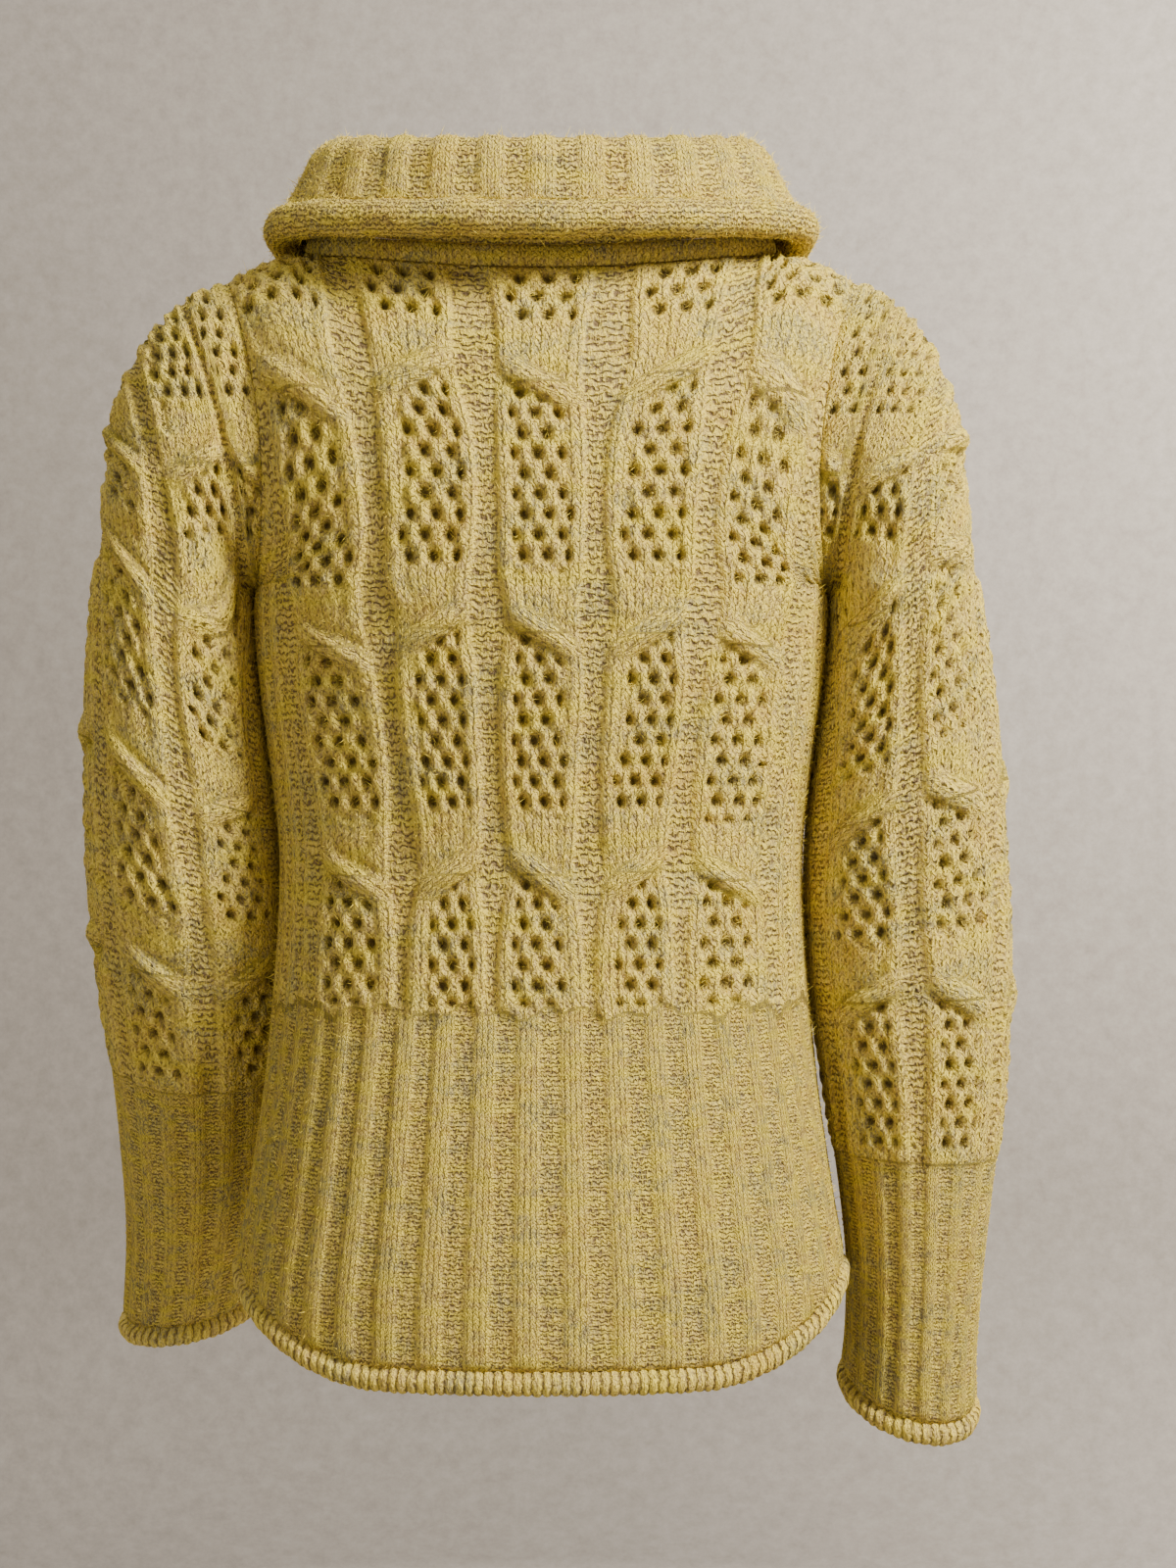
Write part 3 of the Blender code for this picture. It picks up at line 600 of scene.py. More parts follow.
def mesh_object(name, points, faces, marks, maps):
    """An object from points in millimetres. marks are values of points; maps are UVs of face corners."""
    data = bpy.data.meshes.new(name)
    data.vertices.add(len(points))
    data.vertices.foreach_set("co", (np.asarray(points) * MM).astype(np.float32).ravel())
    faces = [group for group in faces if len(group)]
    sizes = np.concatenate([[len(face) for face in group] for group in faces])
    corners = np.concatenate([np.concatenate(group) for group in faces])
    data.loops.add(len(corners))
    data.loops.foreach_set("vertex_index", corners.astype(np.int32))
    data.polygons.add(len(sizes))
    data.polygons.foreach_set("loop_start", np.concatenate([[0], np.cumsum(sizes)[:-1]]).astype(np.int32))
    data.polygons.foreach_set("loop_total", sizes.astype(np.int32))
    for mark, values in marks.items():
        layer = data.attributes.new(mark, "FLOAT", "POINT")
        layer.data.foreach_set("value", np.asarray(values, np.float32).ravel())
    for label, values in maps.items():
        layer = data.uv_layers.new(name=label)
        layer.data.foreach_set("uv", np.asarray(values, np.float32).ravel())
    data.update(calc_edges=True)
    data.polygons.foreach_set("use_smooth", np.ones(len(sizes), bool))
    made = bpy.data.objects.new(name, data)
    bpy.context.scene.collection.objects.link(made)
    return made


def shell(name, outer, inner, marks, maps, around=False, turned=False):
    """A closed thin shell: a fine outer grid, a coarser inner one and the rims that join them.
    marks are values of points with the value of the whole inner side; maps are UVs of outer points.
    turned is for grids whose columns run against the clock as seen from outside."""
    rows, columns = outer.shape[:2]
    low_rows, low_columns = inner.shape[:2]
    out_faces, out_index = grid_faces(rows, columns, 0, around, turned)
    in_faces, in_index = grid_faces(low_rows, low_columns, rows * columns, around, not turned)
    rims = rim_faces(out_index[0], in_index[0], not turned)
    rims += rim_faces(out_index[-1], in_index[-1], turned)
    if not around:
        rims += rim_faces(out_index[:, 0], in_index[:, 0], turned)
        rims += rim_faces(out_index[:, -1], in_index[:, -1], not turned)
    points = np.concatenate([outer.reshape(-1, 3), inner.reshape(-1, 3)])
    all_marks = {}
    for mark, (values, inside) in marks.items():
        values = np.broadcast_to(values, (rows, columns)).ravel()
        all_marks[mark] = np.concatenate([values, np.full(low_rows * low_columns, inside)])
    all_maps = {}
    for label, uv in maps.items():
        outside = corners_of(uv, turned).reshape(-1, 2)
        within = corners_of(uv[::SHARE, ::SHARE], not turned).reshape(-1, 2)
        all_maps[label] = np.concatenate([outside, within, np.zeros((sum(len(face) for face in rims), 2))])
    return mesh_object(name, points, [out_faces, in_faces, rims], all_marks, all_maps)


# ---- the knitted relief ----


def hash_share(a, b, c):
    """A value from 0 to 1 that looks random, from whole numbers."""
    return np.mod(np.sin(a * 1.7 + b * 2.9 + c * 4.1) * 7.31, 1)


class Relief:
    """Height of the fabric above its ground in millimetres, and what the finish reads beside it."""

    def __init__(self, shape):
        for key in ("height", "open", "knit_u", "knit_v", "lace_u", "lace_v"):
            setattr(self, key, np.zeros(shape))
        self.purl = np.ones(shape)

    def take(self, where, other):
        """Takes on another relief in some places."""
        for key in self.__dict__:
            setattr(self, key, np.where(where, getattr(other, key), getattr(self, key)))


def lace_column(x, half, up, lean, crossings, gutter, low, key, count):
    """One column of lace lanterns between two gutters. x is from its middle, half is half the distance
    between the gutters' middles, lean is 1 where the upper strand crosses down to the right and count is
    the number of stitches from the centre line to the column's middle."""
    made = Relief(x.shape)
    # the column sways a little, and its crossings are not quite level
    sway = 1.1 * np.sin(up / 17 + key * 1.3) + 0.9 * np.sin(up / 41 + key * 2.1)
    x = x + sway * (1 - np.clip(x / half, -1, 1) ** 2)
    wide = half - gutter
    away = np.abs(x)
    side = np.sign(x)
    rows = np.array(crossings) + [5 * (hash_share(i, key, 3) - 0.5) for i in range(len(crossings))]
    nearest = rows[np.abs(up[..., None] - rows).argmin(axis=-1)]
    above = up - nearest

    # the two strands of a crossing and how far each point is from them
    turn = np.clip(above / CROSS_REACH, -1, 1) * math.pi / 2
    swing = (wide - STRAND_IN) * lean
    middle = -swing * np.sin(turn)
    tilt = np.sqrt(1 + (swing * np.cos(turn) * math.pi / 2 / CROSS_REACH) ** 2)
    off = (x - middle) / tilt
    off_under = (x + middle) / tilt
    crossing = np.cos(turn) ** 2
    plateau = between(wide - away, -2.4, 1.4)
    over = hump(off, STRAND_WIDTH + 2.4 * crossing, 2.2)
    under = hump(off_under, STRAND_WIDTH, 2.2) * (1 - crossing) ** 2

    # hollows beside the strands, and the lace under them
    below = -lean * off
    shadow = hump(below - 9.8 - crossing, 3.4) * crossing
    shadow_up = hump(below + 9.8 + crossing, 3.2) * crossing
    beside = hump(np.abs(off) - 7.2, 2.0) + hump(np.abs(off_under) - 7.2, 2.0)
    open_low = between(below, *LACE_STOPS) * (above < CROSS_REACH)
    lace = np.maximum(open_low, between(above, *LACE_STARTS))
    lace = lace * between(wide - away, 5.0, 8.5) * between(up, low + 1, low + 6)

    # staggered holes in a soft net
    pitch = np.clip(wide * 0.57, 10.5, 16.5)
    made.lace_u = x / pitch + 0.5
    made.lace_v = up / EYELET_ROW
    row = np.floor(made.lace_v)
    across = made.lace_u - (np.mod(row, 2) - 0.5) * LACE_STAGGER
    cell = np.floor(across)
    size = 0.85 + 0.3 * hash_share(row, cell, key)
    dx = (across - cell - 0.5) * pitch
    dy = (made.lace_v - row - 0.5) * EYELET_ROW
    hole = hump(np.hypot(dx / EYELET_HALF[0], dy / EYELET_HALF[1]) / size, 1.0)
    lumps = np.cos(2 * math.pi * across) * np.sin(math.pi * (made.lace_v - row))
    net = 0.3 - 1.5 * lumps

    # the column is full between its crossings
    dome = 1 - np.clip(away / wide, 0, 1) ** 2
    swell = np.sin(np.clip(above, 0, 60) / 60 * math.pi)
    uneven = 0.85 + 0.3 * np.sin(up / 9.0 + key) ** 2
    made.height = plateau * (LACE_RISE + (0.8 + 0.7 * swell) * dome)
    made.height += (1.0 * uneven + 2.5 * crossing) * over + 1.0 * uneven * under
    made.height -= plateau * (2.6 * shadow + 1.4 * shadow_up + 0.55 * (1 - crossing) * beside)
    made.height -= plateau * lace * (EYELET_DEPTH * hole + net)
    made.purl = 1 - plateau
    made.open = lace

    # stitches run up the column and along the strand that lies over
    inside = away / np.maximum(wide, 4) * COLUMN_STITCHES
    outside = COLUMN_STITCHES + (away - wide) / gutter * GUTTER_STITCHES
    level = side * np.where(away < wide, inside, outside)
    slant = off * COLUMN_STITCHES / wide - lean * np.sign(above) * 4
    on_over = between(crossing, 0.02, 0.4) * between(7 + 2 * crossing - np.abs(off), 0, 1.5)
    made.knit_u = count + np.where(on_over > 0.5, slant, level)
    made.knit_v = up / ROW
    leg = hash_share(np.floor(made.knit_u * 2), np.floor(up / ROW), 5)
    made.height += 0.7 * (leg - 0.5) * plateau
    return made


def ribs(place, relief_rise, stitches, knit_v):
    """Ribs across a coordinate that counts them, with a rib's middle at each whole number."""
    made = Relief(place.shape)
    off = np.abs(place - np.round(place))
    rise = 1 - between(off, 0.18, 0.33)
    made.height = relief_rise * rise * (0.86 + 0.14 * np.cos(off * 2 * math.pi))
    made.height -= 0.25 * hump(off - 0.32, 0.05)
    made.purl = 1 - rise
    made.knit_u = place * stitches + 0.5
    made.knit_v = knit_v + np.zeros(place.shape)
    return made


def purl_ridges(across, up):
    """Low wavy ridges of the purl ground."""
    wave = up + 0.5 * np.sin(across * 1.25 + up * 0.5) + 0.35 * np.sin(across * 0.6 - up * 0.9)
    return 0.4 * np.sin(2 * math.pi * wave / ROW)


def arm_side(z):
    """Share of the soft fullness where the arms rest beside the body."""
    return between(-z, 187, 193) * (1 - between(-z, 430, 520))


# height, how far the flattened cloth stands out where arm and body rest on each other
RESTING = (
    (-520, 4.0), (-440, 4.2), (-385, 4.0), (-330, 4.1), (-288, 4.5),
    (-252, 5.0), (-226, 5.3), (-208, 5.3), (-197, 4.6), (-190, 2.6),
)


# piece, side (-1 left, 1 right), half (-1 behind, 1 in front), width, rise (a trough if below 0), its x and z
CREASES = (
    ("sleeve", -1, -1, 6.0, -3.4, ((-199, -146), (-190, -168), (-180, -186), (-170, -226))),
    ("sleeve", -1, -1, 8.0, 2.0, ((-192, -92), (-203, -130), (-204, -158), (-195, -192))),
    ("sleeve", -1, -1, 11.0, 1.8, ((-199, -180), (-192, -196))),
    ("sleeve", -1, -1, 9.0, -1.8, ((-215, -140), (-226, -172), (-234, -202))),
    ("sleeve", -1, -1, 12.0, -1.5, ((-262, -330), (-236, -352), (-196, -346))),
    ("sleeve", -1, -1, 12.0, 1.3, ((-258, -366), (-222, -380), (-184, -372))),
    ("sleeve", 1, -1, 8.0, -3.0, ((182, -120), (179, -150), (174, -190), (173, -240))),
    ("sleeve", 1, -1, 9.0, -1.8, ((188, -150), (206, -160), (224, -180))),
    ("sleeve", 1, -1, 9.0, 2.0, ((176, -182), (204, -195), (236, -187))),
    ("sleeve", 1, -1, 11.0, -1.6, ((184, -222), (200, -232), (214, -262))),
    ("sleeve", 1, -1, 12.0, -1.3, ((262, -372), (236, -392), (200, -388))),
    ("sleeve", -1, 1, 9.0, -2.4, ((-190, -160), (-206, -196), (-226, -214))),
    ("sleeve", -1, 1, 12.0, -1.9, ((-170, -352), (-206, -372), (-246, -366))),
    ("sleeve", -1, 1, 12.0, 1.5, ((-176, -382), (-214, -400), (-250, -392))),
    ("sleeve", 1, 1, 9.0, -2.4, ((190, -156), (204, -192), (222, -216))),
    ("sleeve", 1, 1, 12.0, -1.7, ((178, -366), (212, -386), (252, -378))),
    ("back", -1, -1, 12.0, -1.3, ((-160, -196), (-138, -222), (-118, -262))),
    ("back", 1, -1, 12.0, -1.3, ((160, -200), (140, -230), (124, -268))),
    ("back", 1, -1, 14.0, 1.1, ((150, -360), (96, -378), (30, -372))),
    ("back", -1, -1, 14.0, 1.1, ((-150, -372), (-100, -392), (-40, -388))),
    ("front", -1, 1, 12.0, -1.7, ((-150, -206), (-112, -226), (-66, -232))),
    ("front", 1, 1, 12.0, -1.7, ((150, -202), (116, -224), (74, -234))),
    ("front", -1, 1, 14.0, -1.3, ((-146, -376), (-96, -396), (-34, -392))),
    ("front", 1, 1, 14.0, -1.4, ((146, -368), (90, -386), (34, -394))),
)


def crease_rise(piece, side, behind, points):
    """Soft troughs and ridges along listed lines. Their depth is uneven and runs out at both ends."""
    rise = np.zeros(points.shape[:2])
    at_x, at_z = points[..., 0], points[..., 2]
    for name, its_side, half, width, depth, line in CREASES:
        if name != piece or its_side != side:
            continue
        fine = np.linspace(0, 1, 25)
        path = np.array([through([np.array(spot, float) for spot in line], t) for t in fine])
        nearest = np.full(rise.shape, 1e9)
        along = np.zeros(rise.shape)
        for t, (x, z) in zip(fine, path):
            away = np.hypot(at_x - x, at_z - z)
            along = np.where(away < nearest, t, along)
            nearest = np.minimum(nearest, away)
        uneven = 0.8 + 0.2 * np.sin(along * 9 + width)
        ends = 0.35 + 0.65 * np.sin(math.pi * along)
        shape = hump(nearest, width) - 0.35 * hump(nearest - 1.9 * width, width)
        rise += depth * uneven * ends * shape * (behind if half < 0 else 1 - behind)
    return rise


def blend(first, second, share):
    """One relief turning into another as share goes from 0 to 1."""
    made = Relief(share.shape)
    for key in ("height", "purl", "open"):
        setattr(made, key, getattr(first, key) * (1 - share) + getattr(second, key) * share)
    for key in ("knit_u", "knit_v", "lace_u", "lace_v"):
        setattr(made, key, np.where(share < 0.5, getattr(first, key), getattr(second, key)))
    return made


def panel_relief(h, v, points, reach):
    """The pattern of the back or a front. reach is the distance of each point from the centre line."""
    g = np.abs(h)
    side = side_of(h)
    front = g > 1
    near = np.where(front, 2 - g, g)
    up_rows = UNDERARM_UP + (TOP_UP - UNDERARM_UP) * (v - 1)
    level = points[..., 2] + HEM_UP
    over = np.where(front, ease((near - 0.35) / 0.35), 1.0)
    up = np.where(v < 1, level, up_rows * over + level * (1 - over))
    gutter = smooth(up, GUTTER_HALF, 1)
    edges = [np.zeros_like(reach)]
    for column in (1, 2, 3):
        share = smooth(v, GUTTERS, column)
        edge = np.empty_like(reach)
        for r in range(len(reach)):
            edge[r] = np.interp(share[r], *order(near[r], np.abs(reach[r])))
        edges.append(edge + np.clip(share - 1, 0, 1) * PAST_SIDE)
    made = Relief(h.shape)
    away = np.abs(reach)
    if not front.any():
        column = lace_column(reach, edges[1], up, 1, BACK_CROSSINGS, gutter, RIB_TOP, 0, 0.0)
        made.take(away < edges[1], column)
    for i in (1, 2):
        middle = (edges[i] + edges[i + 1]) / 2
        half = (edges[i + 1] - edges[i]) / 2
        lean = -1 if i == 1 else 1
        rows = BACK_CROSSINGS if i == 1 else OUTER_CROSSINGS
        for sign in (-1, 1):
            x = (away - middle) * sign
            column = lace_column(x, half, up, lean, rows, gutter, RIB_TOP, i * sign, i * sign * PERIOD)
            made.take((away >= edges[i]) & (away < edges[i + 1]) & (side == sign), column)
    sides = ribs((h + RIB_SHIFT) / RIB_PITCH, RIB_RISE, 6, up / ROW)
    sides.knit_u = side * (2.5 * PERIOD + (away - edges[3]) / STITCH)
    made.take(away >= edges[3], sides)
    beside = hump(away - edges[3], 6.5, 4)
    made.height = np.where(away >= edges[3], made.height * (1 - beside), made.height)
    made.purl = np.where(away >= edges[3], np.maximum(made.purl, beside), made.purl)
    uneven_top = RIB_TOP + 2.6 * np.sin(reach / 9.0) + 2.0 * np.sin(reach / 3.7 + 1)
    lacing = between(up, uneven_top - 5, uneven_top + 5)
    low = blend(made, ribs((h + RIB_SHIFT) / RIB_PITCH, RIB_RISE, 8, up / RIB_ROW), 1 - lacing)
    low.height += low.purl * purl_ridges(reach, up) * lacing
    return low


def order(keys, values):
    """Both in the order of the keys."""
    turn = np.argsort(keys)
    return keys[turn], values[turn]


def fade_at(relief, distance, width, level):
    """Brings the relief to one level beside a seam, so that the pieces meet there."""
    share = between(distance, 0, width)
    relief.height = level + (relief.height - level) * share


def knit_marks(relief):
    """What the finish reads of a relief, with its value on the inner side."""
    # painted shade: darker the lower the relief sits, with 0.6 on the inner side
    low = np.clip(1 - relief.height / 2.2, 0, 1)
    return {
        "purl": (relief.purl, 1.0),
        "open": (relief.open, 0.0),
        "valley_shade": (low, 0.6),
    }


def closed(values):
    """Adds the first column again, for the seam of a tube's UVs."""
    return np.concatenate([values, values[:, :1]], axis=1)


def knit_maps(knit_u, knit_v, lace_u, lace_v):
    """UVs that count stitches and rows, and holes of the lace."""
    return {
        "knit": np.stack(np.broadcast_arrays(knit_u, knit_v), -1),
        "lace": np.stack(np.broadcast_arrays(lace_u, lace_v), -1),
    }


def body_rows():
    """v of the fine rows: wide apart in the ribbing, close in the lace."""
    low = np.linspace(0, RIB_TOP - 5, RIB_ROWS)[:-1]
    high = np.linspace(RIB_TOP - 5, TOP_UP, LACE_ROWS)
    up = np.concatenate([low, high])
    return np.where(up < UNDERARM_UP, up / UNDERARM_UP, 1 + (up - UNDERARM_UP) / (TOP_UP - UNDERARM_UP))


def panel(name, h, v):
    """A knitted body panel as a thin shell on the CAD form."""
    points = torso(h, v)
    front = np.abs(h).max() > 1
    front_side = (-1 if h[0, 0] < 0 else 1) if front else 0
    run = lengths(points, 1)
    reach = (run + BAND_HALF_WIDTH) * front_side if front else run - run[:, [h.shape[1] // 2]]
    relief = panel_relief(h, v, points, reach)
    near = 1 - np.abs(np.abs(h) - 1)
    rise = lengths(points, 0)
    to_side = np.abs(run - run[:, [-1]]) if front else np.minimum(run, run[:, [-1]] - run)
    fade_at(relief, to_side, np.where(v > 1, 6.0, 3.0), np.where(v > 1, 1.6, 0.2))
    top = rise[-1] - rise
    at_shoulder = near > NECK_SHARE
    fade_at(relief, top, np.where(at_shoulder, 5.0, 4.0), np.where(at_shoulder, 1.2, 0.0))
    behind = np.full(h.shape, 0.0 if front else 1.0)
    for side in (front_side,) if front else (-1, 1):
        folds = crease_rise("front" if front else "back", side, behind, points)
        relief.height += folds * between(near, 0, 0.1) * between(rise, 0, 12)
    relief.height = np.maximum(relief.height, DEEPEST)
    resting = hump(np.abs(h) - 1, 0.17) * arm_side(points[..., 2])
    relief.height += resting * (smooth(points[..., 2], RESTING, 1) - relief.height)
    fade_at(relief, rise, RIM_FADE, RIM_LEVEL)
    outer = torso_layer(h, v, -relief.height)
    inner = torso_layer(h[::SHARE, ::SHARE], v[::SHARE, ::SHARE], WALL)
    maps = knit_maps(relief.knit_u, relief.knit_v, relief.lace_u, relief.lace_v)
    return shell(name, outer, inner, knit_marks(relief), maps, turned=front_side > 0)


def make_back():
    half = even_shares(lambda h: torso(h, np.full_like(h, 1.35)), 0, 1 - SEAM_INSET, BACK_COLUMNS)
    h = np.concatenate([-half[:0:-1], half])[None, :]
    v = body_rows()[:, None]
    h, v = np.broadcast_arrays(h, v)
    return panel("knit_back", h, v)


def make_front(name, side):
    rows = body_rows()
    edge = 2 - np.abs(centre_front_share(np.full_like(rows, BAND_HALF_WIDTH + SEAM_GAP), rows))
    even = even_shares(
        lambda near: torso(2 - near, np.full_like(near, 1.2)), 0.06, 1 - SEAM_INSET, FRONT_COLUMNS
    )
    share = (even - even[0]) / (even[-1] - even[0])
    near = edge[:, None] + (1 - SEAM_INSET - edge[:, None]) * share[None, :]
    v = np.broadcast_to(rows[:, None], near.shape)
    return panel(name, side * (2 - near), v)


def grain(side, turn, k, points, table):
    """Where round the arm, in degrees, each point's column of stitches runs below the armhole. Above it the
    columns run straight up, lean outward and are cut off by the armhole's edge, as in a set-in sleeve."""
    rows = numbered(table)
    low = np.maximum(k, SLEEVE_STRAIGHT)
    in_x, out_x = smooth(low, rows, 1), smooth(low, rows, 3)
    middle, half = (in_x + out_x) / 2, (out_x - in_x) / 2
    lean = 30 * (np.clip(points[..., 2] + 190, 0, None) / 153) ** 2
    reach = (side * points[..., 0] - lean - middle) / half
    straight = np.degrees(np.arccos(np.clip(reach, -1, 1))) + 60 * np.clip(-reach - 1, 0, None)
    straight = np.where(turn > math.pi, 360 - straight, straight)
    return np.where(k < SLEEVE_STRAIGHT, straight, np.degrees(turn))


def sleeve_relief(side, turn, k, points, table):
    """Six lace columns round the sleeve, down to the ribbing above the cuff."""
    middle_down = -sleeve(table, side, np.full_like(k, math.pi / 2), k)[..., 2]
    settle = between(k, 2.5, 6.5)
    down = middle_down * settle - points[..., 2] * (1 - settle)
    run = lengths(points, 1)
    total = run[:, -1:] + np.linalg.norm(points[:, :1] - points[:, -1:], axis=-1)
    pitch = np.where(k < SLEEVE_STRAIGHT, np.maximum(total, 305.0), total) / 6
    first = 60 + (SLEEVE_MIDDLES[side] - 60) * between(k, 5, 8)
    place = grain(side, turn, k, points, table) / 60 - first / 60
    column = np.round(place)
    gutter = smooth(down, SLEEVE_GUTTER_HALF, 1)
    made = Relief(turn.shape)
    rows = [-row for row in SLEEVE_CROSSINGS[side]][::-1]
    for lean in (-1, 1):
        even = np.mod(column, 2) == (0 if lean > 0 else 1)
        x = (place - column) * pitch * -side
        lantern = lace_column(
            x, pitch / 2, -down, lean, rows, gutter, -SLEEVE_RIB_TOP[side], 7, -side * column * PERIOD
        )
        made.take(even, lantern)
    low = ribs(place * 3, RIB_RISE * 0.9, 6, -down / RIB_ROW)
    share = between(down, SLEEVE_RIB_TOP[side] - 4, SLEEVE_RIB_TOP[side] + 4)
    mixed = blend(made, low, share)
    mixed.height += mixed.purl * purl_ridges(run, -down) * (1 - share)
    return mixed


def make_sleeve(name, table, side):
    last = len(table) - 1
    fine = np.linspace(0, last, 1200)
    down = -sleeve(table, side, np.full_like(fine, math.pi / 2), fine)[:, 2]
    arc = lengths(sleeve(table, side, np.full_like(fine, 0.9), fine)[None], 1)[0]
    rib_arc = np.interp(SLEEVE_RIB_TOP[side] + 5, down, arc)
    lace_rows = np.linspace(0, rib_arc, SLEEVE_LACE_ROWS)[:-1]
    rib_rows = np.linspace(rib_arc, arc[-1], SLEEVE_RIB_ROWS)
    k = np.interp(np.concatenate([lace_rows, rib_rows]), arc, fine)[:, None]
    turn = np.linspace(0, 2 * math.pi, SLEEVE_COLUMNS, endpoint=False)[None, :]
    turn, k = np.broadcast_arrays(turn, k)
    points = sleeve(table, side, turn, k)
    relief = sleeve_relief(side, turn, k, points, table)
    rise = lengths(points, 0)
    behind = between(np.sin(turn), -0.25, 0.25)
    relief.height += crease_rise("sleeve", side, behind, points)
    relief.height = np.maximum(relief.height, DEEPEST)
    fade_at(relief, rise, 6.0, 1.6)
    resting = hump(turn - math.pi, 0.75, 3) * arm_side(points[..., 2]) * between(k, 0.5, 1.4)
    relief.height += resting * (smooth(points[..., 2], RESTING, 1) - relief.height)
    fade_at(relief, rise[-1] - rise, RIM_FADE, RIM_LEVEL)
    outer = sleeve_layer(table, side, turn, k, -relief.height)
    inner = sleeve_layer(table, side, turn[::SHARE, ::SHARE], k[::SHARE, ::SHARE], WALL)
    maps = knit_maps(*(closed(uv) for uv in (relief.knit_u, relief.knit_v, relief.lace_u, relief.lace_v)))
    return shell(name, outer, inner, knit_marks(relief), maps, around=True, turned=side > 0)


# ---- rolled edges ----


def rolled(name, path, across, up, turns, swell, knit_u, knit_v, closed_path=False, purl=1.0):
    """A rolled edge. across and up are its half axes; swell is added to its radius at each turn."""
    cosine, sine = np.cos(turns)[None, :, None], np.sin(turns)[None, :, None]
    spoke = across[:, None] * cosine + up[:, None] * sine
    length = np.linalg.norm(spoke, axis=-1, keepdims=True)
    points = path[:, None] + spoke * (1 + swell[..., None] / length)
    rows, columns = points.shape[:2]
    index = np.arange(rows * columns).reshape(rows, columns)
    if closed_path:
        index = np.concatenate([index, index[:1]], axis=0)
        knit_u = np.concatenate([knit_u, knit_u[-1:] + knit_u[1:2] - knit_u[:1]])
    index = np.concatenate([index, index[:, :1]], axis=1)
    faces = corners_of(index).reshape(-1, 4)
    ends = [] if closed_path else [index[0, :-1][::-1].tolist(), index[-1, :-1].tolist()]
    knit_v = np.append(knit_v, knit_v[0] + knit_v[-1] + knit_v[1])
    uv = np.stack(np.meshgrid(knit_u, knit_v, indexing="ij"), -1)
    corners = np.concatenate([corners_of(uv).reshape(-1, 2), np.zeros((sum(len(end) for end in ends), 2))])
    # painted shade: darker where the roll sinks inward between its nubs
    low = np.clip(0.35 - swell / 2.4, 0, 1).ravel()
    marks = {"purl": np.full(len(low), purl), "open": np.zeros(len(low)), "valley_shade": low}
    made = mesh_object(
        name, points.reshape(-1, 3), [faces, ends], marks, {"knit": corners, "lace": np.zeros_like(corners)}
    )
    face_outward(made)
    return made


def only(piece):
    """Selects one object and nothing else."""
    bpy.ops.object.select_all(action="DESELECT")
    piece.select_set(True)
    bpy.context.view_layer.objects.active = piece


def face_outward(made):
    """Turns a closed mesh's faces to the outside."""
    only(made)
    bpy.ops.object.mode_set(mode="EDIT")
    bpy.ops.mesh.select_all(action="SELECT")
    bpy.ops.mesh.normals_make_consistent(inside=False)
    bpy.ops.object.mode_set(mode="OBJECT")
    made.select_set(False)


def nub_count(along):
    """Nubs from the start of an edge to each point, whole in number all the way round."""
    total = along[-1] * len(along) / (len(along) - 1)
    return along / total * round(total / NUB)


def nubs(along, turns):
    """Upright stitch nubs in one row on a rolled edge; turns is 0 outward and pi/2 down."""
    count = nub_count(along)[:, None]
    wrapped = np.mod(turns + math.pi / 2, 2 * math.pi) - math.pi / 2
    place = count + 0.07 * np.sin(count * 2.3) + 0.03 * np.sin(wrapped * 3)
    lump = np.abs(np.cos(math.pi * place)) ** 0.6
    seam = hump(wrapped + 1.0, 0.3)
    return -0.6 + (1.5 + 0.3 * np.sin(count * 1.7)) * lump - 1.3 * seam


def edge_of(name, rim, normal, down, closed_path=False):
    """The rolled edge that hangs from a rim."""
    middle = rim - normal * (WALL / 2) + down * EDGE_DROP
    run = lengths(middle[None], 1)[0]
    turns = np.linspace(0, 2 * math.pi, EDGE_TURNS, endpoint=False)
    swell = nubs(run, turns[None, :])
    return rolled(
        name, middle, normal * (EDGE_THICKNESS / 2), down * (EDGE_HEIGHT / 2), turns, swell,
        nub_count(run) + 0.5, turns * 0.02, closed_path, purl=0.0,
    )


def make_hem(name, low, high):
    count = int(round(abs(high - low) * EDGE_COLUMNS))
    h = even_shares(lambda at: torso(at, np.zeros_like(at)), low, high, count)
    v = np.zeros_like(h)
    rim = torso_layer(h, v, 0)
    normal = rim - torso_layer(h, v, 1)
    lower = torso_layer(h, v - 0.01, 0) - rim
    return edge_of(name, rim, normal, unit(lower))


def make_cuff(name, table, side):
    turn = np.linspace(0, 2 * math.pi, CUFF_COLUMNS, endpoint=False)
    last = float(len(table) - 1)
    rim = sleeve_layer(table, side, turn, last, 0)
    normal = rim - sleeve_layer(table, side, turn, last, 1)
    lower = rim - sleeve_layer(table, side, turn, last - 0.1, 0)
    down = unit(np.broadcast_to(lower.mean(axis=0), lower.shape))
    return edge_of(name, rim, normal, down, closed_path=True)


# ---- bands and collar ----


def neck_span(count):
    """Places round the neck, evenly spaced, from one end of the collar to the other."""
    half = even_shares(lambda q: neckline(q)[0], 0, COLLAR_END_SHARE, count)
    return np.concatenate([-half[:0:-1], half])


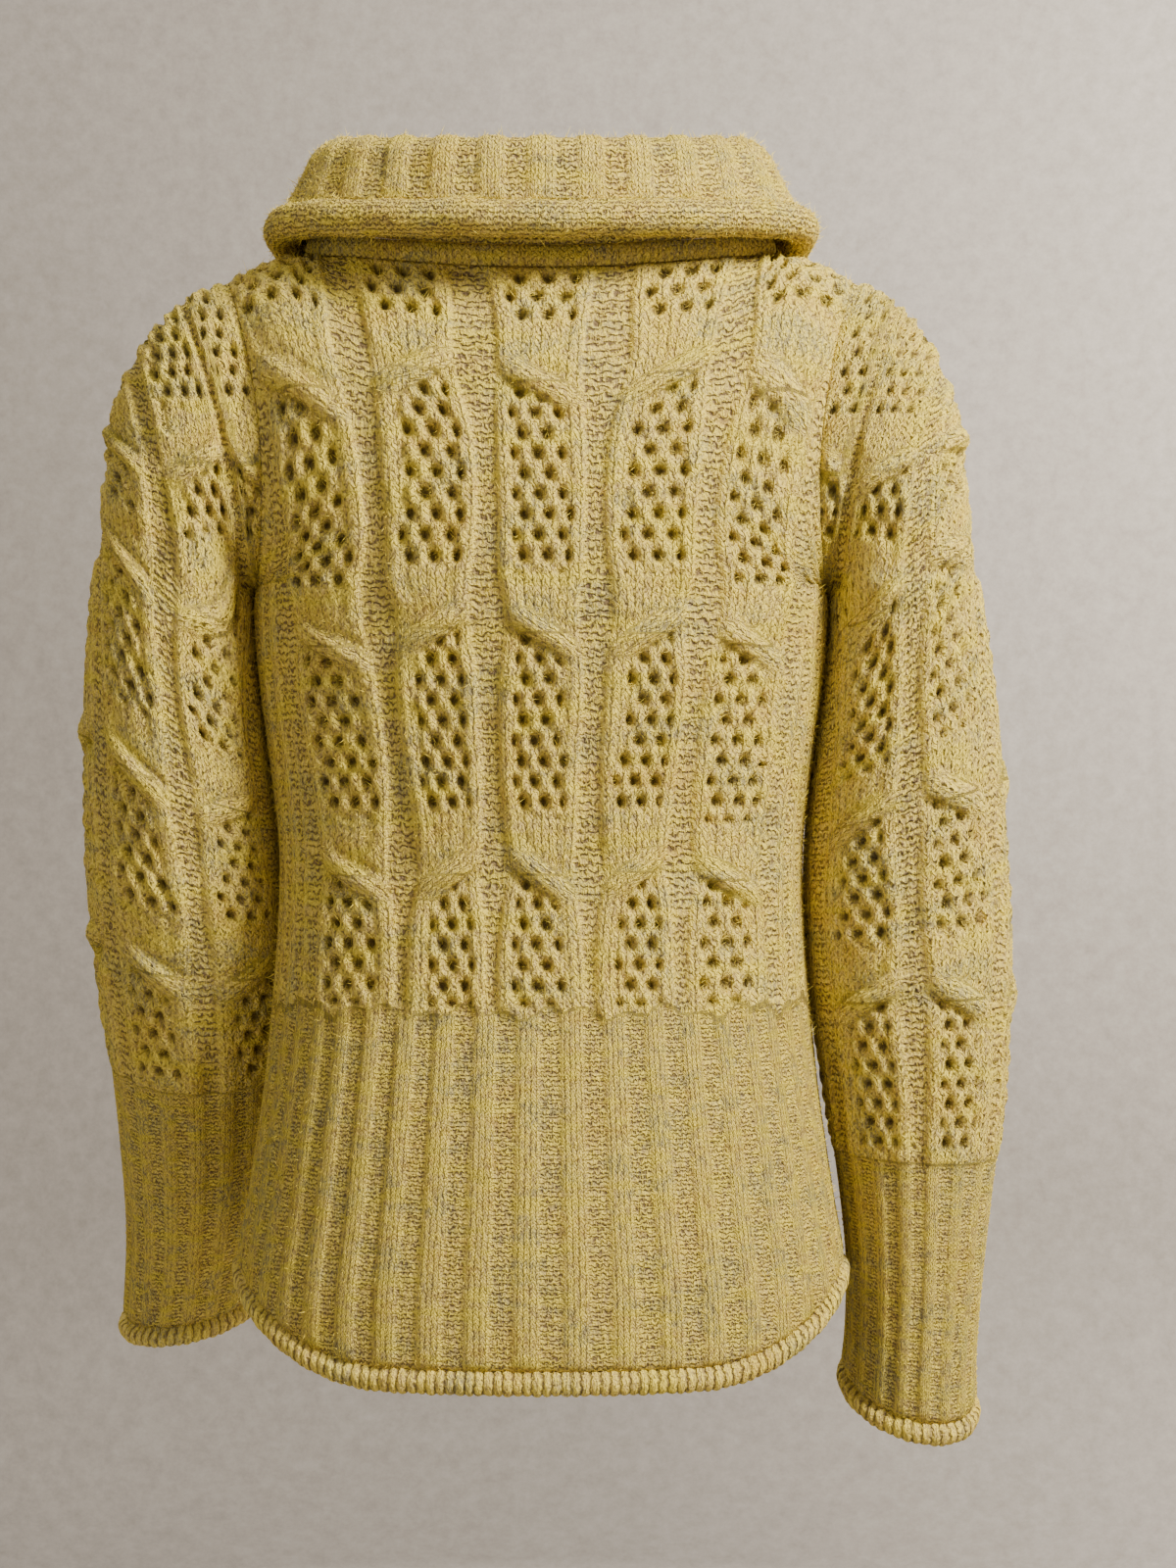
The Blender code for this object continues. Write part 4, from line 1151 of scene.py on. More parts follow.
def make_neck_band():
    q = neck_span(NECK_BAND_COLUMNS)
    line, away = neckline(q)
    up = np.array([0.0, 0.0, 1.0])
    t = np.linspace(0, 1, NECK_BAND_ROWS)[:, None, None]
    rise = SEAM_GAP + (NECK_BAND_HEIGHT - SEAM_GAP) * t
    run = lengths(line[None], 1)[0]
    run = run - run[len(run) // 2]
    lump = np.abs(np.cos(math.pi * run / NECK_BAND_LUMP))[None, :, None] ** 0.8
    bulge = np.sin(math.pi * np.clip(t, 0.06, 0.94))
    out = NECK_BAND_THICKNESS / 2 - 0.4 + bulge * (0.3 + 1.5 * lump)
    outer = line + up * rise + away * out
    inner = (line + up * rise - away * (NECK_BAND_THICKNESS / 2))[::SHARE, ::SHARE]
    flat = np.zeros(outer.shape[:2])
    maps = knit_maps(run[None, :] / STITCH + flat, t[..., 0] * 3 + flat, flat, flat)
    # painted shade between the band's lumps and towards its top and bottom
    valley_shade = np.clip(1 - (0.3 + 0.7 * lump * bulge), 0, 1)[..., 0]
    marks = {"purl": (0.0, 1.0), "open": (0.0, 0.0), "valley_shade": (valley_shade, 0.6)}
    return shell("knit_neck_band", outer, inner, marks, maps)


def collar_lines(q, steps):
    """The middle of the collar's cloth from the neckline to the roll, and the way square to it."""
    middle = collar_place(q, COLLAR_ROLL_LINE)
    knots = [collar_place(q, row) for row in COLLAR_LINE]
    knots.append(middle + unit(knots[-1] - middle) * (COLLAR_ROLL_RADIUS + SEAM_GAP))
    line = np.stack([through(knots, i / steps) for i in range(steps + 1)])
    normal = np.cross(np.gradient(line, axis=1), np.gradient(line, axis=0))
    normal[0, :, 2] = 0
    return line, unit(normal)


def make_collar():
    """The ribbed stand, fold and fall. The fine side is the one that shows: inside the neck, then outside."""
    q = neck_span(COLLAR_COLUMNS)
    line, normal = collar_lines(q, COLLAR_STEPS)
    fall = -8  # a line on the outside, near the roll
    run = lengths(line[fall][None], 1)[0]
    run = run - run[len(run) // 2]
    rise = lengths(line, 0)
    relief = ribs(np.broadcast_to(run / COLLAR_RIB, line.shape[:2]), 1.7, 7, rise / 3.4)
    fade_at(relief, rise, 4.0, 0.2)
    fade_at(relief, rise[-1] - rise, 6.0, 0.4)
    sign = -1.0 if normal[fall, len(q) // 2, 1] > 0 else 1.0
    half = COLLAR_WALL / 2
    outer = line + sign * normal * (half + relief.height[..., None] * 0.9)
    inner = (line - sign * normal * half)[::SHARE, ::SHARE]
    maps = knit_maps(relief.knit_u, relief.knit_v, 0 * rise, 0 * rise)
    made = shell("knit_collar", outer, inner, knit_marks(relief), maps)
    face_outward(made)
    return made


def make_collar_roll():
    q = neck_span(COLLAR_ROLL_COLUMNS)
    middle = collar_place(q, COLLAR_ROLL_LINE)
    _, away = neckline(q)
    up = np.broadcast_to([0.0, 0.0, 1.0], away.shape)
    run = lengths(middle[None], 1)[0]
    turns = np.linspace(0, 2 * math.pi, COLLAR_ROLL_TURNS, endpoint=False)
    row = turns[None, :] * COLLAR_ROLL_RADIUS / 3.3 + run[:, None] / 60
    swell = 0.45 * np.sin(2 * math.pi * row) * np.sin(run[:, None] * 1.45 + 2.2 * np.floor(row))
    swell = swell + 0.7 * np.sin(run[:, None] / 23.0) * np.sin(run[:, None] / 9.7 + turns[None, :])
    ends = between(np.minimum(run, run[-1] - run), 0, 9)[:, None]
    swell = swell - (1 - ends) * 4.5
    return rolled(
        "knit_collar_roll", middle, away * COLLAR_ROLL_RADIUS, up * COLLAR_ROLL_RADIUS, turns, swell,
        run / STITCH * 1.3, turns / (2 * math.pi) * 20,
    )


def make_band(name, low_x, high_x, low_v, depth):
    """A ribbed button band: three knit ribs on a purl ground."""
    rows = body_rows()[::2]
    if low_v < 0:
        rows = np.concatenate([np.linspace(low_v, 0, SHARE + 1)[:-1], rows])
    x = np.linspace(low_x, high_x, BAND_COLUMNS)
    h = np.stack([centre_front_share(np.full_like(rows, at), rows) for at in x], -1)
    v = np.broadcast_to(rows[:, None], h.shape)
    points = torso(h, v)
    place = (x - (low_x + high_x) / 2) / 9.4
    rise = lengths(points, 0)
    relief = ribs(np.broadcast_to(place, h.shape), 1.3, 2, rise / RIB_ROW)
    run = lengths(points, 1)
    fade_at(relief, np.minimum(run, run[:, -1:] - run), 1.5, -0.2)
    outer = torso_layer(h, v, depth - relief.height)
    inner = torso_layer(h[::SHARE, ::SHARE], v[::SHARE, ::SHARE], depth + WALL)
    maps = knit_maps(relief.knit_u, relief.knit_v, 0 * rise, 0 * rise)
    made = shell(name, outer, inner, knit_marks(relief), maps)
    face_outward(made)
    return made


# ---- buttons, in metres ----

BUTTON_RADIUS = 0.0098
BUTTON_THICKNESS = 0.0033
BUTTON_INSETS = ((0.0022, 0.0), (0.0006, -0.0005), (0.0012, -0.0002))  # width and depth of the dish's steps
BUTTON_ROUNDING = 0.0007
HOLE_RADIUS = 0.0009
HOLE_REACH = 0.0024  # from the button's middle
THREAD_RADIUS = 0.00055
THREAD_LENGTH = 0.0056
THREAD_SUNK = 0.0003
THREAD_STEP = 0.0004  # the second thread lies over the first


def face_of_button(name):
    """The button's disc with a rounded rim and a dished face."""
    bpy.ops.object.select_all(action="DESELECT")
    bpy.ops.mesh.primitive_cylinder_add(
        vertices=48, radius=BUTTON_RADIUS, depth=BUTTON_THICKNESS, location=(0, 0, 0)
    )
    made = bpy.context.object
    made.name = name
    made.data.name = name
    bpy.ops.object.mode_set(mode="EDIT")
    bpy.ops.mesh.select_all(action="DESELECT")
    bpy.ops.object.mode_set(mode="OBJECT")
    for face in made.data.polygons:
        face.select = face.normal.z > 0.9
    bpy.ops.object.mode_set(mode="EDIT")
    bpy.ops.mesh.select_mode(type="FACE")
    for width, depth in BUTTON_INSETS:
        bpy.ops.mesh.inset(thickness=width, depth=depth)
    bpy.ops.object.mode_set(mode="OBJECT")
    rim = made.modifiers.new("rim", "BEVEL")
    rim.width = BUTTON_ROUNDING
    rim.segments = 3
    rim.limit_method = "ANGLE"
    bpy.ops.object.modifier_apply(modifier=rim.name)
    return made


def drill_holes(made):
    """Four holes through a button."""
    for turn in range(4):
        angle = math.pi / 4 + turn * math.pi / 2
        spot = (HOLE_REACH * math.cos(angle), HOLE_REACH * math.sin(angle), 0)
        bpy.ops.mesh.primitive_cylinder_add(
            vertices=16, radius=HOLE_RADIUS, depth=BUTTON_THICKNESS * 2, location=spot
        )
        drill = bpy.context.object
        cut = made.modifiers.new("hole", "BOOLEAN")
        cut.operation = "DIFFERENCE"
        cut.solver = "EXACT"
        cut.object = drill
        bpy.context.view_layer.objects.active = made
        bpy.ops.object.modifier_apply(modifier=cut.name)
        bpy.data.objects.remove(drill)


def cross_threads(name):
    """Two crossed threads over a button's holes."""
    threads = []
    for turn in (0, 1):
        bpy.ops.object.select_all(action="DESELECT")
        bpy.ops.mesh.primitive_cylinder_add(
            vertices=10, radius=THREAD_RADIUS, depth=THREAD_LENGTH, rotation=(0, math.pi / 2, 0),
            location=(0, 0, BUTTON_THICKNESS / 2 - THREAD_SUNK + THREAD_STEP * turn),
        )
        thread = bpy.context.object
        bpy.ops.object.transform_apply(location=False, rotation=True, scale=False)
        thread.rotation_euler = (0, 0, math.pi / 4 + turn * math.pi / 2)
        bpy.ops.object.transform_apply(location=True, rotation=True, scale=False)
        threads.append(thread)
    only(threads[0])
    threads[1].select_set(True)
    bpy.ops.object.join()
    threads[0].name = name
    return threads[0]


def make_button(number):
    """A turned horn button: a dished face inside a rounded rim, four holes and a crossed thread."""
    low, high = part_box(f"button_{number}")
    node = next(o for o in bpy.data.objects if o.get("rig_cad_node") == f"button_{number}")
    spots = np.array([v.co[:] for v in node.data.vertices])
    _, _, axes = np.linalg.svd(spots - spots.mean(axis=0), full_matrices=False)
    normal = axes[2] * (1 if axes[2][1] > 0 else -1)
    made = face_of_button(f"horn_button_{number}")
    drill_holes(made)
    thread = cross_threads(f"button_thread_{number}")
    for piece in (made, thread):
        only(piece)
        piece.rotation_euler = (math.atan2(normal[2], normal[1]) - math.pi / 2, 0, 0)
        piece.location = (low + high) / 2
        bpy.ops.object.transform_apply(location=True, rotation=True, scale=False)
        bpy.ops.object.shade_smooth_by_angle(angle=math.radians(35))
    return made, thread


# ---- materials ----


def colour(code):
    """An sRGB hex value as the linear colour that a shader takes."""
    parts = [int(code[i : i + 2], 16) / 255 for i in (1, 3, 5)]
    linear = [p / 12.92 if p <= 0.04045 else ((p + 0.055) / 1.055) ** 2.4 for p in parts]
    return (*linear, 1.0)


def add(tree, kind, inputs=None, output=0, **settings):
    """Adds a shader node, sets it, fills its inputs with values or links, and gives one of its outputs."""
    made = tree.nodes.new("ShaderNode" + kind)
    for name, value in settings.items():
        setattr(made, name, value)
    for socket, value in (inputs or {}).items():
        if isinstance(value, bpy.types.NodeSocket):
            tree.links.new(value, made.inputs[socket])
        else:
            made.inputs[socket].default_value = value
    return made.outputs[output]


def maths(tree, operation, *values, **settings):
    """A Math node with its inputs in order."""
    return add(tree, "Math", dict(enumerate(values)), operation=operation, **settings)


def vectors(tree, operation, *values, output=0):
    """A Vector Math node with its inputs in order."""
    return add(tree, "VectorMath", dict(enumerate(values)), output, operation=operation)


def axis(tree, vector, letter):
    return add(tree, "SeparateXYZ", {0: vector}, letter)


def from_whole(tree, value):
    """How far a value is from the nearest whole number."""
    return maths(tree, "PINGPONG", value, 0.5)


def ramp(tree, value, low, high, to_low=0.0, to_high=1.0, soft=False):
    """A value carried from one range to another and held at both ends."""
    limits = {"Value": value, "From Min": low, "From Max": high, "To Min": to_low, "To Max": to_high}
    return add(tree, "MapRange", limits, interpolation_type="SMOOTHSTEP" if soft else "LINEAR")


def noise(tree, place, scale, detail=1.0, output=0, **inputs):
    return add(tree, "TexNoise", {"Vector": place, "Scale": scale, "Detail": detail, **inputs}, output)


def tint(tree, share, first, second, **settings):
    """A mix of two colours."""
    return add(tree, "Mix", {0: share, 6: first, 7: second}, 2, data_type="RGBA", **settings)


def blank_material(name):
    made = bpy.data.materials.new(name)
    made.use_nodes = True
    tree = made.node_tree
    tree.nodes.clear()
    shader = tree.nodes.new("ShaderNodeBsdfPrincipled")
    surface = tree.nodes.new("ShaderNodeOutputMaterial")
    tree.links.new(shader.outputs[0], surface.inputs[0])
    return made, tree, shader


def dress(tree, shader, base, height, strength, depth, roughness):
    """Gives a shader its colour, its bump and its roughness."""
    tree.links.new(base, shader.inputs["Base Color"])
    bump = add(tree, "Bump", {"Strength": strength, "Distance": depth, "Height": height})
    tree.links.new(bump, shader.inputs["Normal"])
    shader.inputs["Roughness"].default_value = roughness


def knit_side(tree, u, v):
    """Height of knit stitches: a deep line between them, a shallow one down the middle and slanting legs."""
    fold = from_whole(tree, u)
    groove = ramp(tree, fold, 0.0, 0.2, soft=True)
    middle = ramp(tree, fold, 0.5, 0.38, -0.3, 0.0, soft=True)
    slant = maths(tree, "MULTIPLY_ADD", fold, -1.7, v)
    leg = ramp(tree, from_whole(tree, slant), 0.0, 0.24, to_high=0.55)
    lines = maths(tree, "ADD", groove, middle)
    return maths(tree, "MULTIPLY_ADD", lines, 0.65, leg)


def purl_side(tree, knit, u, v):
    """Height of purl stitches: wavy ridges, one to a row, cut into staggered dashes."""
    sway = add(tree, "TexNoise", {"Vector": knit, "Scale": 0.9, "Detail": 1.0}, noise_dimensions="2D")
    wave = maths(tree, "MULTIPLY_ADD", from_whole(tree, u), 0.6, v)
    wave = maths(tree, "MULTIPLY_ADD", sway, 1.3, wave)
    ridge = ramp(tree, from_whole(tree, wave), 0.0, 0.34, soft=True)
    brick = maths(tree, "MULTIPLY_ADD", maths(tree, "FLOOR", v), 0.5, u)
    dash = ramp(tree, from_whole(tree, brick), 0.03, 0.17, 0.9, 0.0)
    return maths(tree, "MAXIMUM", ridge, dash)


def eyelets(tree, place, lace, lacing):
    """A staggered lattice of ragged holes, where the lace is: the mask of their painted shade."""
    p, q = axis(tree, lace, "X"), axis(tree, lace, "Y")
    odd = maths(tree, "PINGPONG", maths(tree, "FLOOR", q), 1.0)
    shift = maths(tree, "MULTIPLY_ADD", odd, -LACE_STAGGER, LACE_STAGGER / 2)
    off_x = maths(tree, "SUBTRACT", 0.5, from_whole(tree, maths(tree, "ADD", p, shift)))
    off_y = maths(tree, "SUBTRACT", 0.5, from_whole(tree, q))
    span = add(tree, "CombineXYZ", {0: off_x, 1: off_y, 2: 0.0})
    far = vectors(tree, "LENGTH", span, output="Value")
    far = maths(tree, "MULTIPLY_ADD", noise(tree, place, 330.0, 2.0), 0.3, far)
    hole = ramp(tree, far, 0.5, 0.2, to_high=0.84, soft=True)
    return maths(tree, "MULTIPLY", hole, lacing)


def heather(tree, place, knit, look):
    """Colour of the yarn with grey and ochre patches and lemon streaks along the rows."""
    patch = noise(tree, place, 34.0, Roughness=0.5)
    along = vectors(tree, "MULTIPLY", knit, (0.15, 0.32, 1.0))
    mixed = maths(tree, "ADD", patch, noise(tree, along, 1.0))
    grey = ramp(tree, mixed, 1.0, 1.22, to_high=0.85, soft=True)
    ochre = ramp(tree, mixed, 0.95, 0.72, to_high=0.7, soft=True)
    base = tint(tree, ochre, colour(look.main), colour(look.ochre))
    base = tint(tree, grey, base, colour(look.grey))
    lemon = noise(tree, vectors(tree, "ADD", along, (7.3, 2.1, 0.0)), 0.9)
    return tint(tree, ramp(tree, lemon, 0.52, 0.66, to_high=0.8, soft=True), base, colour(look.lemon))


def wool_material(look):
    """Brushed mohair and wool yarn, knitted: matt, with a pale bloom of fibres, partly painted highlight,
    painted shade in its hollows, between its fibres and in its eyelets, and heathered colour.
    """
    made, tree, shader = blank_material("brushed heather wool")
    knit, lace = (add(tree, "UVMap", uv_map=name) for name in ("knit", "lace"))
    place = add(tree, "TexCoord", output="Object")
    purl, lacing, valley_shade = (
        add(tree, "Attribute", output="Fac", attribute_name=name) for name in ("purl", "open", "valley_shade")
    )
    stray = vectors(tree, "SUBTRACT", noise(tree, place, 300.0, output="Color"), (0.5, 0.5, 0.5))
    stray = vectors(tree, "MULTIPLY", stray, (0.7, 0.7, 0.0))
    loose = vectors(tree, "ADD", knit, stray)
    u, v = axis(tree, loose, "X"), axis(tree, loose, "Y")
    stitch = add(tree, "Mix", {0: purl, 2: knit_side(tree, u, v), 3: purl_side(tree, knit, u, v)})
    hole = eyelets(tree, place, lace, lacing)
    base = heather(tree, place, knit, look)

    # single pale fibres that lie in three directions, partly painted highlights where fibres catch the light,
    # and painted shade in the gaps between them
    fibre = noise(tree, place, 430.0, 3.0, Distortion=1.2)
    base = tint(tree, ramp(tree, fibre, 0.5, 0.66, to_high=0.65), base, colour(look.pale))
    for lean in (0.55, -0.45, 1.3):
        way = {"Vector": place, "Rotation": (0.0, lean, 0.0), "Scale": (640.0, 640.0, 120.0)}
        hair = noise(tree, add(tree, "Mapping", way), 1.0, Distortion=0.6)
        hair = ramp(tree, hair, 0.53, 0.66, to_high=0.6)
        base = tint(tree, hair, base, colour(look.pale))
        fibre = maths(tree, "MULTIPLY_ADD", hair, 0.5, fibre)
    # painted shade in the gaps between the fibres
    base = tint(tree, ramp(tree, fibre, 0.62, 0.34, to_high=0.62), base, colour(look.shade))

    # painted shade in the yarn's own hollows, deeper in the valleys of the pattern
    hollow_shade = ramp(tree, stitch, 0.62, 0.08, to_high=0.82)
    hollow_shade = maths(tree, "MULTIPLY_ADD", valley_shade, 0.12, hollow_shade, use_clamp=True)
    base = tint(tree, hollow_shade, base, colour(look.shade))
    # painted shade inside the eyelets
    base = tint(tree, hole, base, colour(look.hole))
    height = maths(tree, "MULTIPLY_ADD", fibre, 0.6, stitch)
    height = maths(tree, "MULTIPLY_ADD", hole, -2.0, height)
    dress(tree, shader, base, height, 0.9, look.stitch_depth, 0.92)
    shader.inputs["Specular IOR Level"].default_value = 0.08
    shader.inputs["Sheen Weight"].default_value = 0.08
    shader.inputs["Sheen Roughness"].default_value = 0.45
    shader.inputs["Sheen Tint"].default_value = colour(look.pale)
    return made


def horn_material(look):
    """Polished horn: brown with paler streaks and a soft gloss."""
    made, tree, shader = blank_material("polished horn")
    place = add(tree, "TexCoord", output="Object")
    stretched = add(tree, "Mapping", {"Vector": place, "Scale": (1.0, 1.0, 0.25)})
    streak = noise(tree, stretched, 420.0, 4.0)
    base = tint(tree, ramp(tree, streak, 0.4, 0.65), colour(look.horn), colour(look.horn_pale))
    dress(tree, shader, base, streak, 0.15, 0.0002, 0.32)
    shader.inputs["IOR"].default_value = 1.54
    return made


def wall_material(look):
    """Painted plaster with a faint mottle, a painted light falloff that makes it a little darker to the left
    and lower down, and a pale floor.
    """
    made, tree, shader = blank_material("painted plaster")
    place = add(tree, "TexCoord", output="Object")
    cloud = noise(tree, place, 34.0, 9.0, Roughness=0.8)
    base = tint(tree, ramp(tree, cloud, 0.3, 0.7), colour(look.wall), colour(look.wall_pale))
    # painted light falloff: darker to the left and lower down, then lifted again on the floor
    height = axis(tree, place, "Z")
    light_falloff_tone = maths(tree, "MULTIPLY_ADD", axis(tree, place, "X"), 0.15, 0.66)
    light_falloff_tone = maths(tree, "MULTIPLY_ADD", height, 0.11, light_falloff_tone)
    light_falloff_tone = add(tree, "Clamp", {"Value": light_falloff_tone, "Min": 0.5, "Max": 1.0})
    light_falloff_tone = maths(tree, "ADD", light_falloff_tone, ramp(tree, height, FLOOR_Z + 0.03, FLOOR_Z, to_high=0.32))
    base = tint(tree, 1.0, base, light_falloff_tone, blend_type="MULTIPLY")
    dress(tree, shader, base, noise(tree, place, 160.0, 6.0), 0.25, 0.001, 0.95)
    return made


def fibre_material(look):
    """Single mohair fibres that stand off the yarn."""
    made, _, shader = blank_material("mohair fibre")
    shader.inputs["Base Color"].default_value = colour(look.pale)
    shader.inputs["Roughness"].default_value = 0.9
    shader.inputs["Specular IOR Level"].default_value = 0.1
    return made


def of_faces(data, key, width, kind=np.float32):
    """A value of every face of a mesh as an array."""
    values = np.empty(len(data.polygons) * width, kind)
    data.polygons.foreach_get(key, values)
    return values.reshape(-1, width) if width > 1 else values


def nap(name, base, count, seed):
    """Loose mohair fibres over a knitted piece: thin closed spikes of uneven length that lean every way.
    More of them stand where the piece turns to the sides or up."""
    chance = np.random.default_rng(seed)
    spots = of_faces(base.data, "center", 3)
    ways = of_faces(base.data, "normal", 3)
    areas = of_faces(base.data, "area", 1)
    corners = of_faces(base.data, "loop_total", 1, np.int32)
    fine = (areas < NAP_LARGEST_FACE) & (corners == 4)
    edgewise = 0.35 + ways[:, 0] ** 2 + np.clip(ways[:, 2], 0, 1) ** 2
    share = np.where(fine, areas * edgewise, 0).astype(float)
    picks = chance.choice(len(share), count, p=share / share.sum())
    root = spots[picks] / MM
    out = ways[picks]
    lean = chance.normal(size=(count, 3))
    lean -= out * (lean * out).sum(axis=1, keepdims=True)
    lean = unit(lean)
    rise = chance.uniform(0.25, 1.1, (count, 1))
    way = out * np.sin(rise) + lean * np.cos(rise)
    length = 2.2 + chance.gamma(2.0, 1.2, (count, 1))
    across = unit(np.cross(way, out))
    third = np.cross(across, way)
    thick = chance.uniform(0.18, 0.3, (count, 1))
    foot = root - out * 0.4
    points = np.stack([
        foot + across * thick,
        foot - across * thick * 0.5 + third * thick * 0.87,
        foot - across * thick * 0.5 - third * thick * 0.87,
        foot + way * length,
    ], 1).reshape(-1, 3)
    start = np.arange(count)[:, None] * 4
    faces = np.concatenate([start + pattern for pattern in ([0, 1, 2], [0, 3, 1], [1, 3, 2], [2, 3, 0])])
    made = mesh_object(name, points, [faces], {}, {})
    face_outward(made)
    return made


# ---- settings ----


class CARDIGAN_PG_look(bpy.types.PropertyGroup):
    """Colours of the yarn, the buttons and the wall, as sRGB hex values."""

    main: bpy.props.StringProperty(name="Main", description="Main colour of the yarn", default="#E6CB76")
    # pale: painted highlights of fibres on the yarn, and the own colour of the loose fibres and button
    # threads
    pale: bpy.props.StringProperty(name="Pale", description="Fibres that catch the light", default="#FFE65E")
    ochre: bpy.props.StringProperty(name="Ochre", description="Warmer patches", default="#DBB654")
    lemon: bpy.props.StringProperty(name="Lemon", description="Brighter streaks", default="#F1DC50")
    grey: bpy.props.StringProperty(name="Grey", description="Greyer patches", default="#B9B17C")
    # shade: painted shade in the hollows of the yarn and between its fibres
    shade: bpy.props.StringProperty(name="Shade", description="Hollows of the yarn", default="#77624C")
    # hole: painted shade inside the eyelets
    hole: bpy.props.StringProperty(name="Hole", description="Inside of an eyelet", default="#504028")
    horn: bpy.props.StringProperty(name="Horn", description="Dark part of the horn", default="#3A2413")
    horn_pale: bpy.props.StringProperty(name="Pale horn", description="Streaks in it", default="#7A5630")
    wall: bpy.props.StringProperty(name="Wall", description="Wall and floor", default="#A9A198")
    wall_pale: bpy.props.StringProperty(name="Pale wall", description="Lighter mottle", default="#C6C0B8")
    stitch_depth: bpy.props.FloatProperty(
        name="Stitch depth", description="Depth of the stitches in the finish", default=0.0026, min=0.0,
        max=0.01, unit="LENGTH",
    )


class CARDIGAN_PG_stage(bpy.types.PropertyGroup):
    """Camera and lights."""

    distance: bpy.props.FloatProperty(
        name="Camera distance", description="From the camera to the middle of the neck", default=1.6,
        unit="LENGTH",
    )
    camera_z: bpy.props.FloatProperty(
        name="Camera height", description="Height of the camera in the garment's frame", default=-0.31,
        unit="LENGTH",
    )
    lens: bpy.props.FloatProperty(name="Lens", description="Focal length", default=60.0, unit="CAMERA")
    shift: bpy.props.FloatProperty(name="Shift", description="Sideways shift of the frame", default=0.03)
    key_power: bpy.props.FloatProperty(name="Key light", description="Power, from the side", default=165.0)
    fill_power: bpy.props.FloatProperty(name="Fill light", description="Power, in shadow", default=10.0)
    far_power: bpy.props.FloatProperty(name="Far light", description="Power, on the front", default=42.0)
    wash_power: bpy.props.FloatProperty(name="Wall light", description="Power, on the wall", default=170.0)
    sky: bpy.props.FloatProperty(name="Room light", description="Strength of the room's light", default=0.62)


# ---- operators ----


def wear(made, *nodes, slot="yarn", finish="brushed heather wool"):
    """Puts a finished piece into the model in place of its CAD nodes."""
    made.data.materials.clear()
    made.data.materials.append(bpy.data.materials[finish])
    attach(made, "root")
    if nodes:
        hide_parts(*nodes)
    return made


class CARDIGAN_OT_materials(bpy.types.Operator):
    """Make the wool, horn and plaster materials"""

    bl_idname = "cardigan.materials"
    bl_label = "Materials"

    def execute(self, context):
        look = context.scene.cardigan_look
        wool_material(look)
        horn_material(look)
        wall_material(look)
        fibre_material(look)
        return {"FINISHED"}


class CARDIGAN_OT_back(bpy.types.Operator):
    """Knit the back and its rolled hem"""

    bl_idname = "cardigan.back"
    bl_label = "Back"

    def execute(self, context):
        half = 1 - SEAM_INSET
        back = wear(make_back(), "back")
        wear(nap("nap_back", back, NAP_COUNTS["back"], 1), finish="mohair fibre")
        hem = wear(make_hem("knit_hem_back", -half, half), "hem_back")
        return {"FINISHED"}


class CARDIGAN_OT_fronts(bpy.types.Operator):
    """Knit the fronts with their hems and button bands"""

    bl_idname = "cardigan.fronts"
    bl_label = "Fronts"

    def execute(self, context):
        reach = np.full(1, BAND_HALF_WIDTH + 2 * SEAM_GAP)
        edge = float(np.abs(centre_front_share(reach, np.zeros(1)))[0])
        under = -BAND_HALF_WIDTH - BAND_UNDER_REACH
        bands = {
            "left": (under, BAND_HALF_WIDTH - 2, 0, WALL + 1.5 * SEAM_GAP),
            "right": (-BAND_HALF_WIDTH, BAND_HALF_WIDTH, BAND_FOOT, 0),
        }
        for word, side in (("left", -1), ("right", 1)):
            front = wear(make_front(f"knit_front_{word}", side), f"front_{word}")
            wear(nap(f"nap_front_{word}", front, NAP_COUNTS["front"], 4 + side), finish="mohair fibre")
            near, far = sorted((side * (1 + SEAM_INSET), side * edge))
            hem = wear(make_hem(f"knit_hem_front_{word}", near, far), f"hem_front_{word}")
            band = wear(make_band(f"knit_band_{word}", *bands[word]), f"button_band_{word}")
        return {"FINISHED"}


class CARDIGAN_OT_sleeves(bpy.types.Operator):
    """Knit the sleeves and their rolled cuffs"""

    bl_idname = "cardigan.sleeves"
    bl_label = "Sleeves"

    def execute(self, context):
        for word, side, table in (("left", -1, SLEEVE_LEFT), ("right", 1, SLEEVE_RIGHT)):
            arm = wear(make_sleeve(f"knit_sleeve_{word}", table, side), f"sleeve_{word}")
            wear(nap(f"nap_sleeve_{word}", arm, NAP_COUNTS["sleeve"], 8 + side), finish="mohair fibre")
            cuff = wear(make_cuff(f"knit_cuff_{word}", table, side), f"cuff_{word}")
        return {"FINISHED"}


class CARDIGAN_OT_collar(bpy.types.Operator):
    """Knit the neck band, the ribbed collar and its roll"""

    bl_idname = "cardigan.collar"
    bl_label = "Collar"

    def execute(self, context):
        band = wear(make_neck_band(), "neck_band")
        collar = wear(make_collar(), "collar")
        wear(nap("nap_collar", collar, NAP_COUNTS["collar"], 12), finish="mohair fibre")
        edge = wear(make_collar_roll(), "collar_roll")
        wear(nap("nap_collar_roll", edge, NAP_COUNTS["collar_roll"], 13), finish="mohair fibre")
        return {"FINISHED"}


class CARDIGAN_OT_buttons(bpy.types.Operator):
    """Turn the horn buttons and sew them on"""

    bl_idname = "cardigan.buttons"
    bl_label = "Buttons"

    def execute(self, context):
        for number in range(1, BUTTON_COUNT + 1):
            button, thread = make_button(number)
            wear(button, f"button_{number}", slot="horn", finish="polished horn")
            wear(thread, finish="mohair fibre")
        return {"FINISHED"}


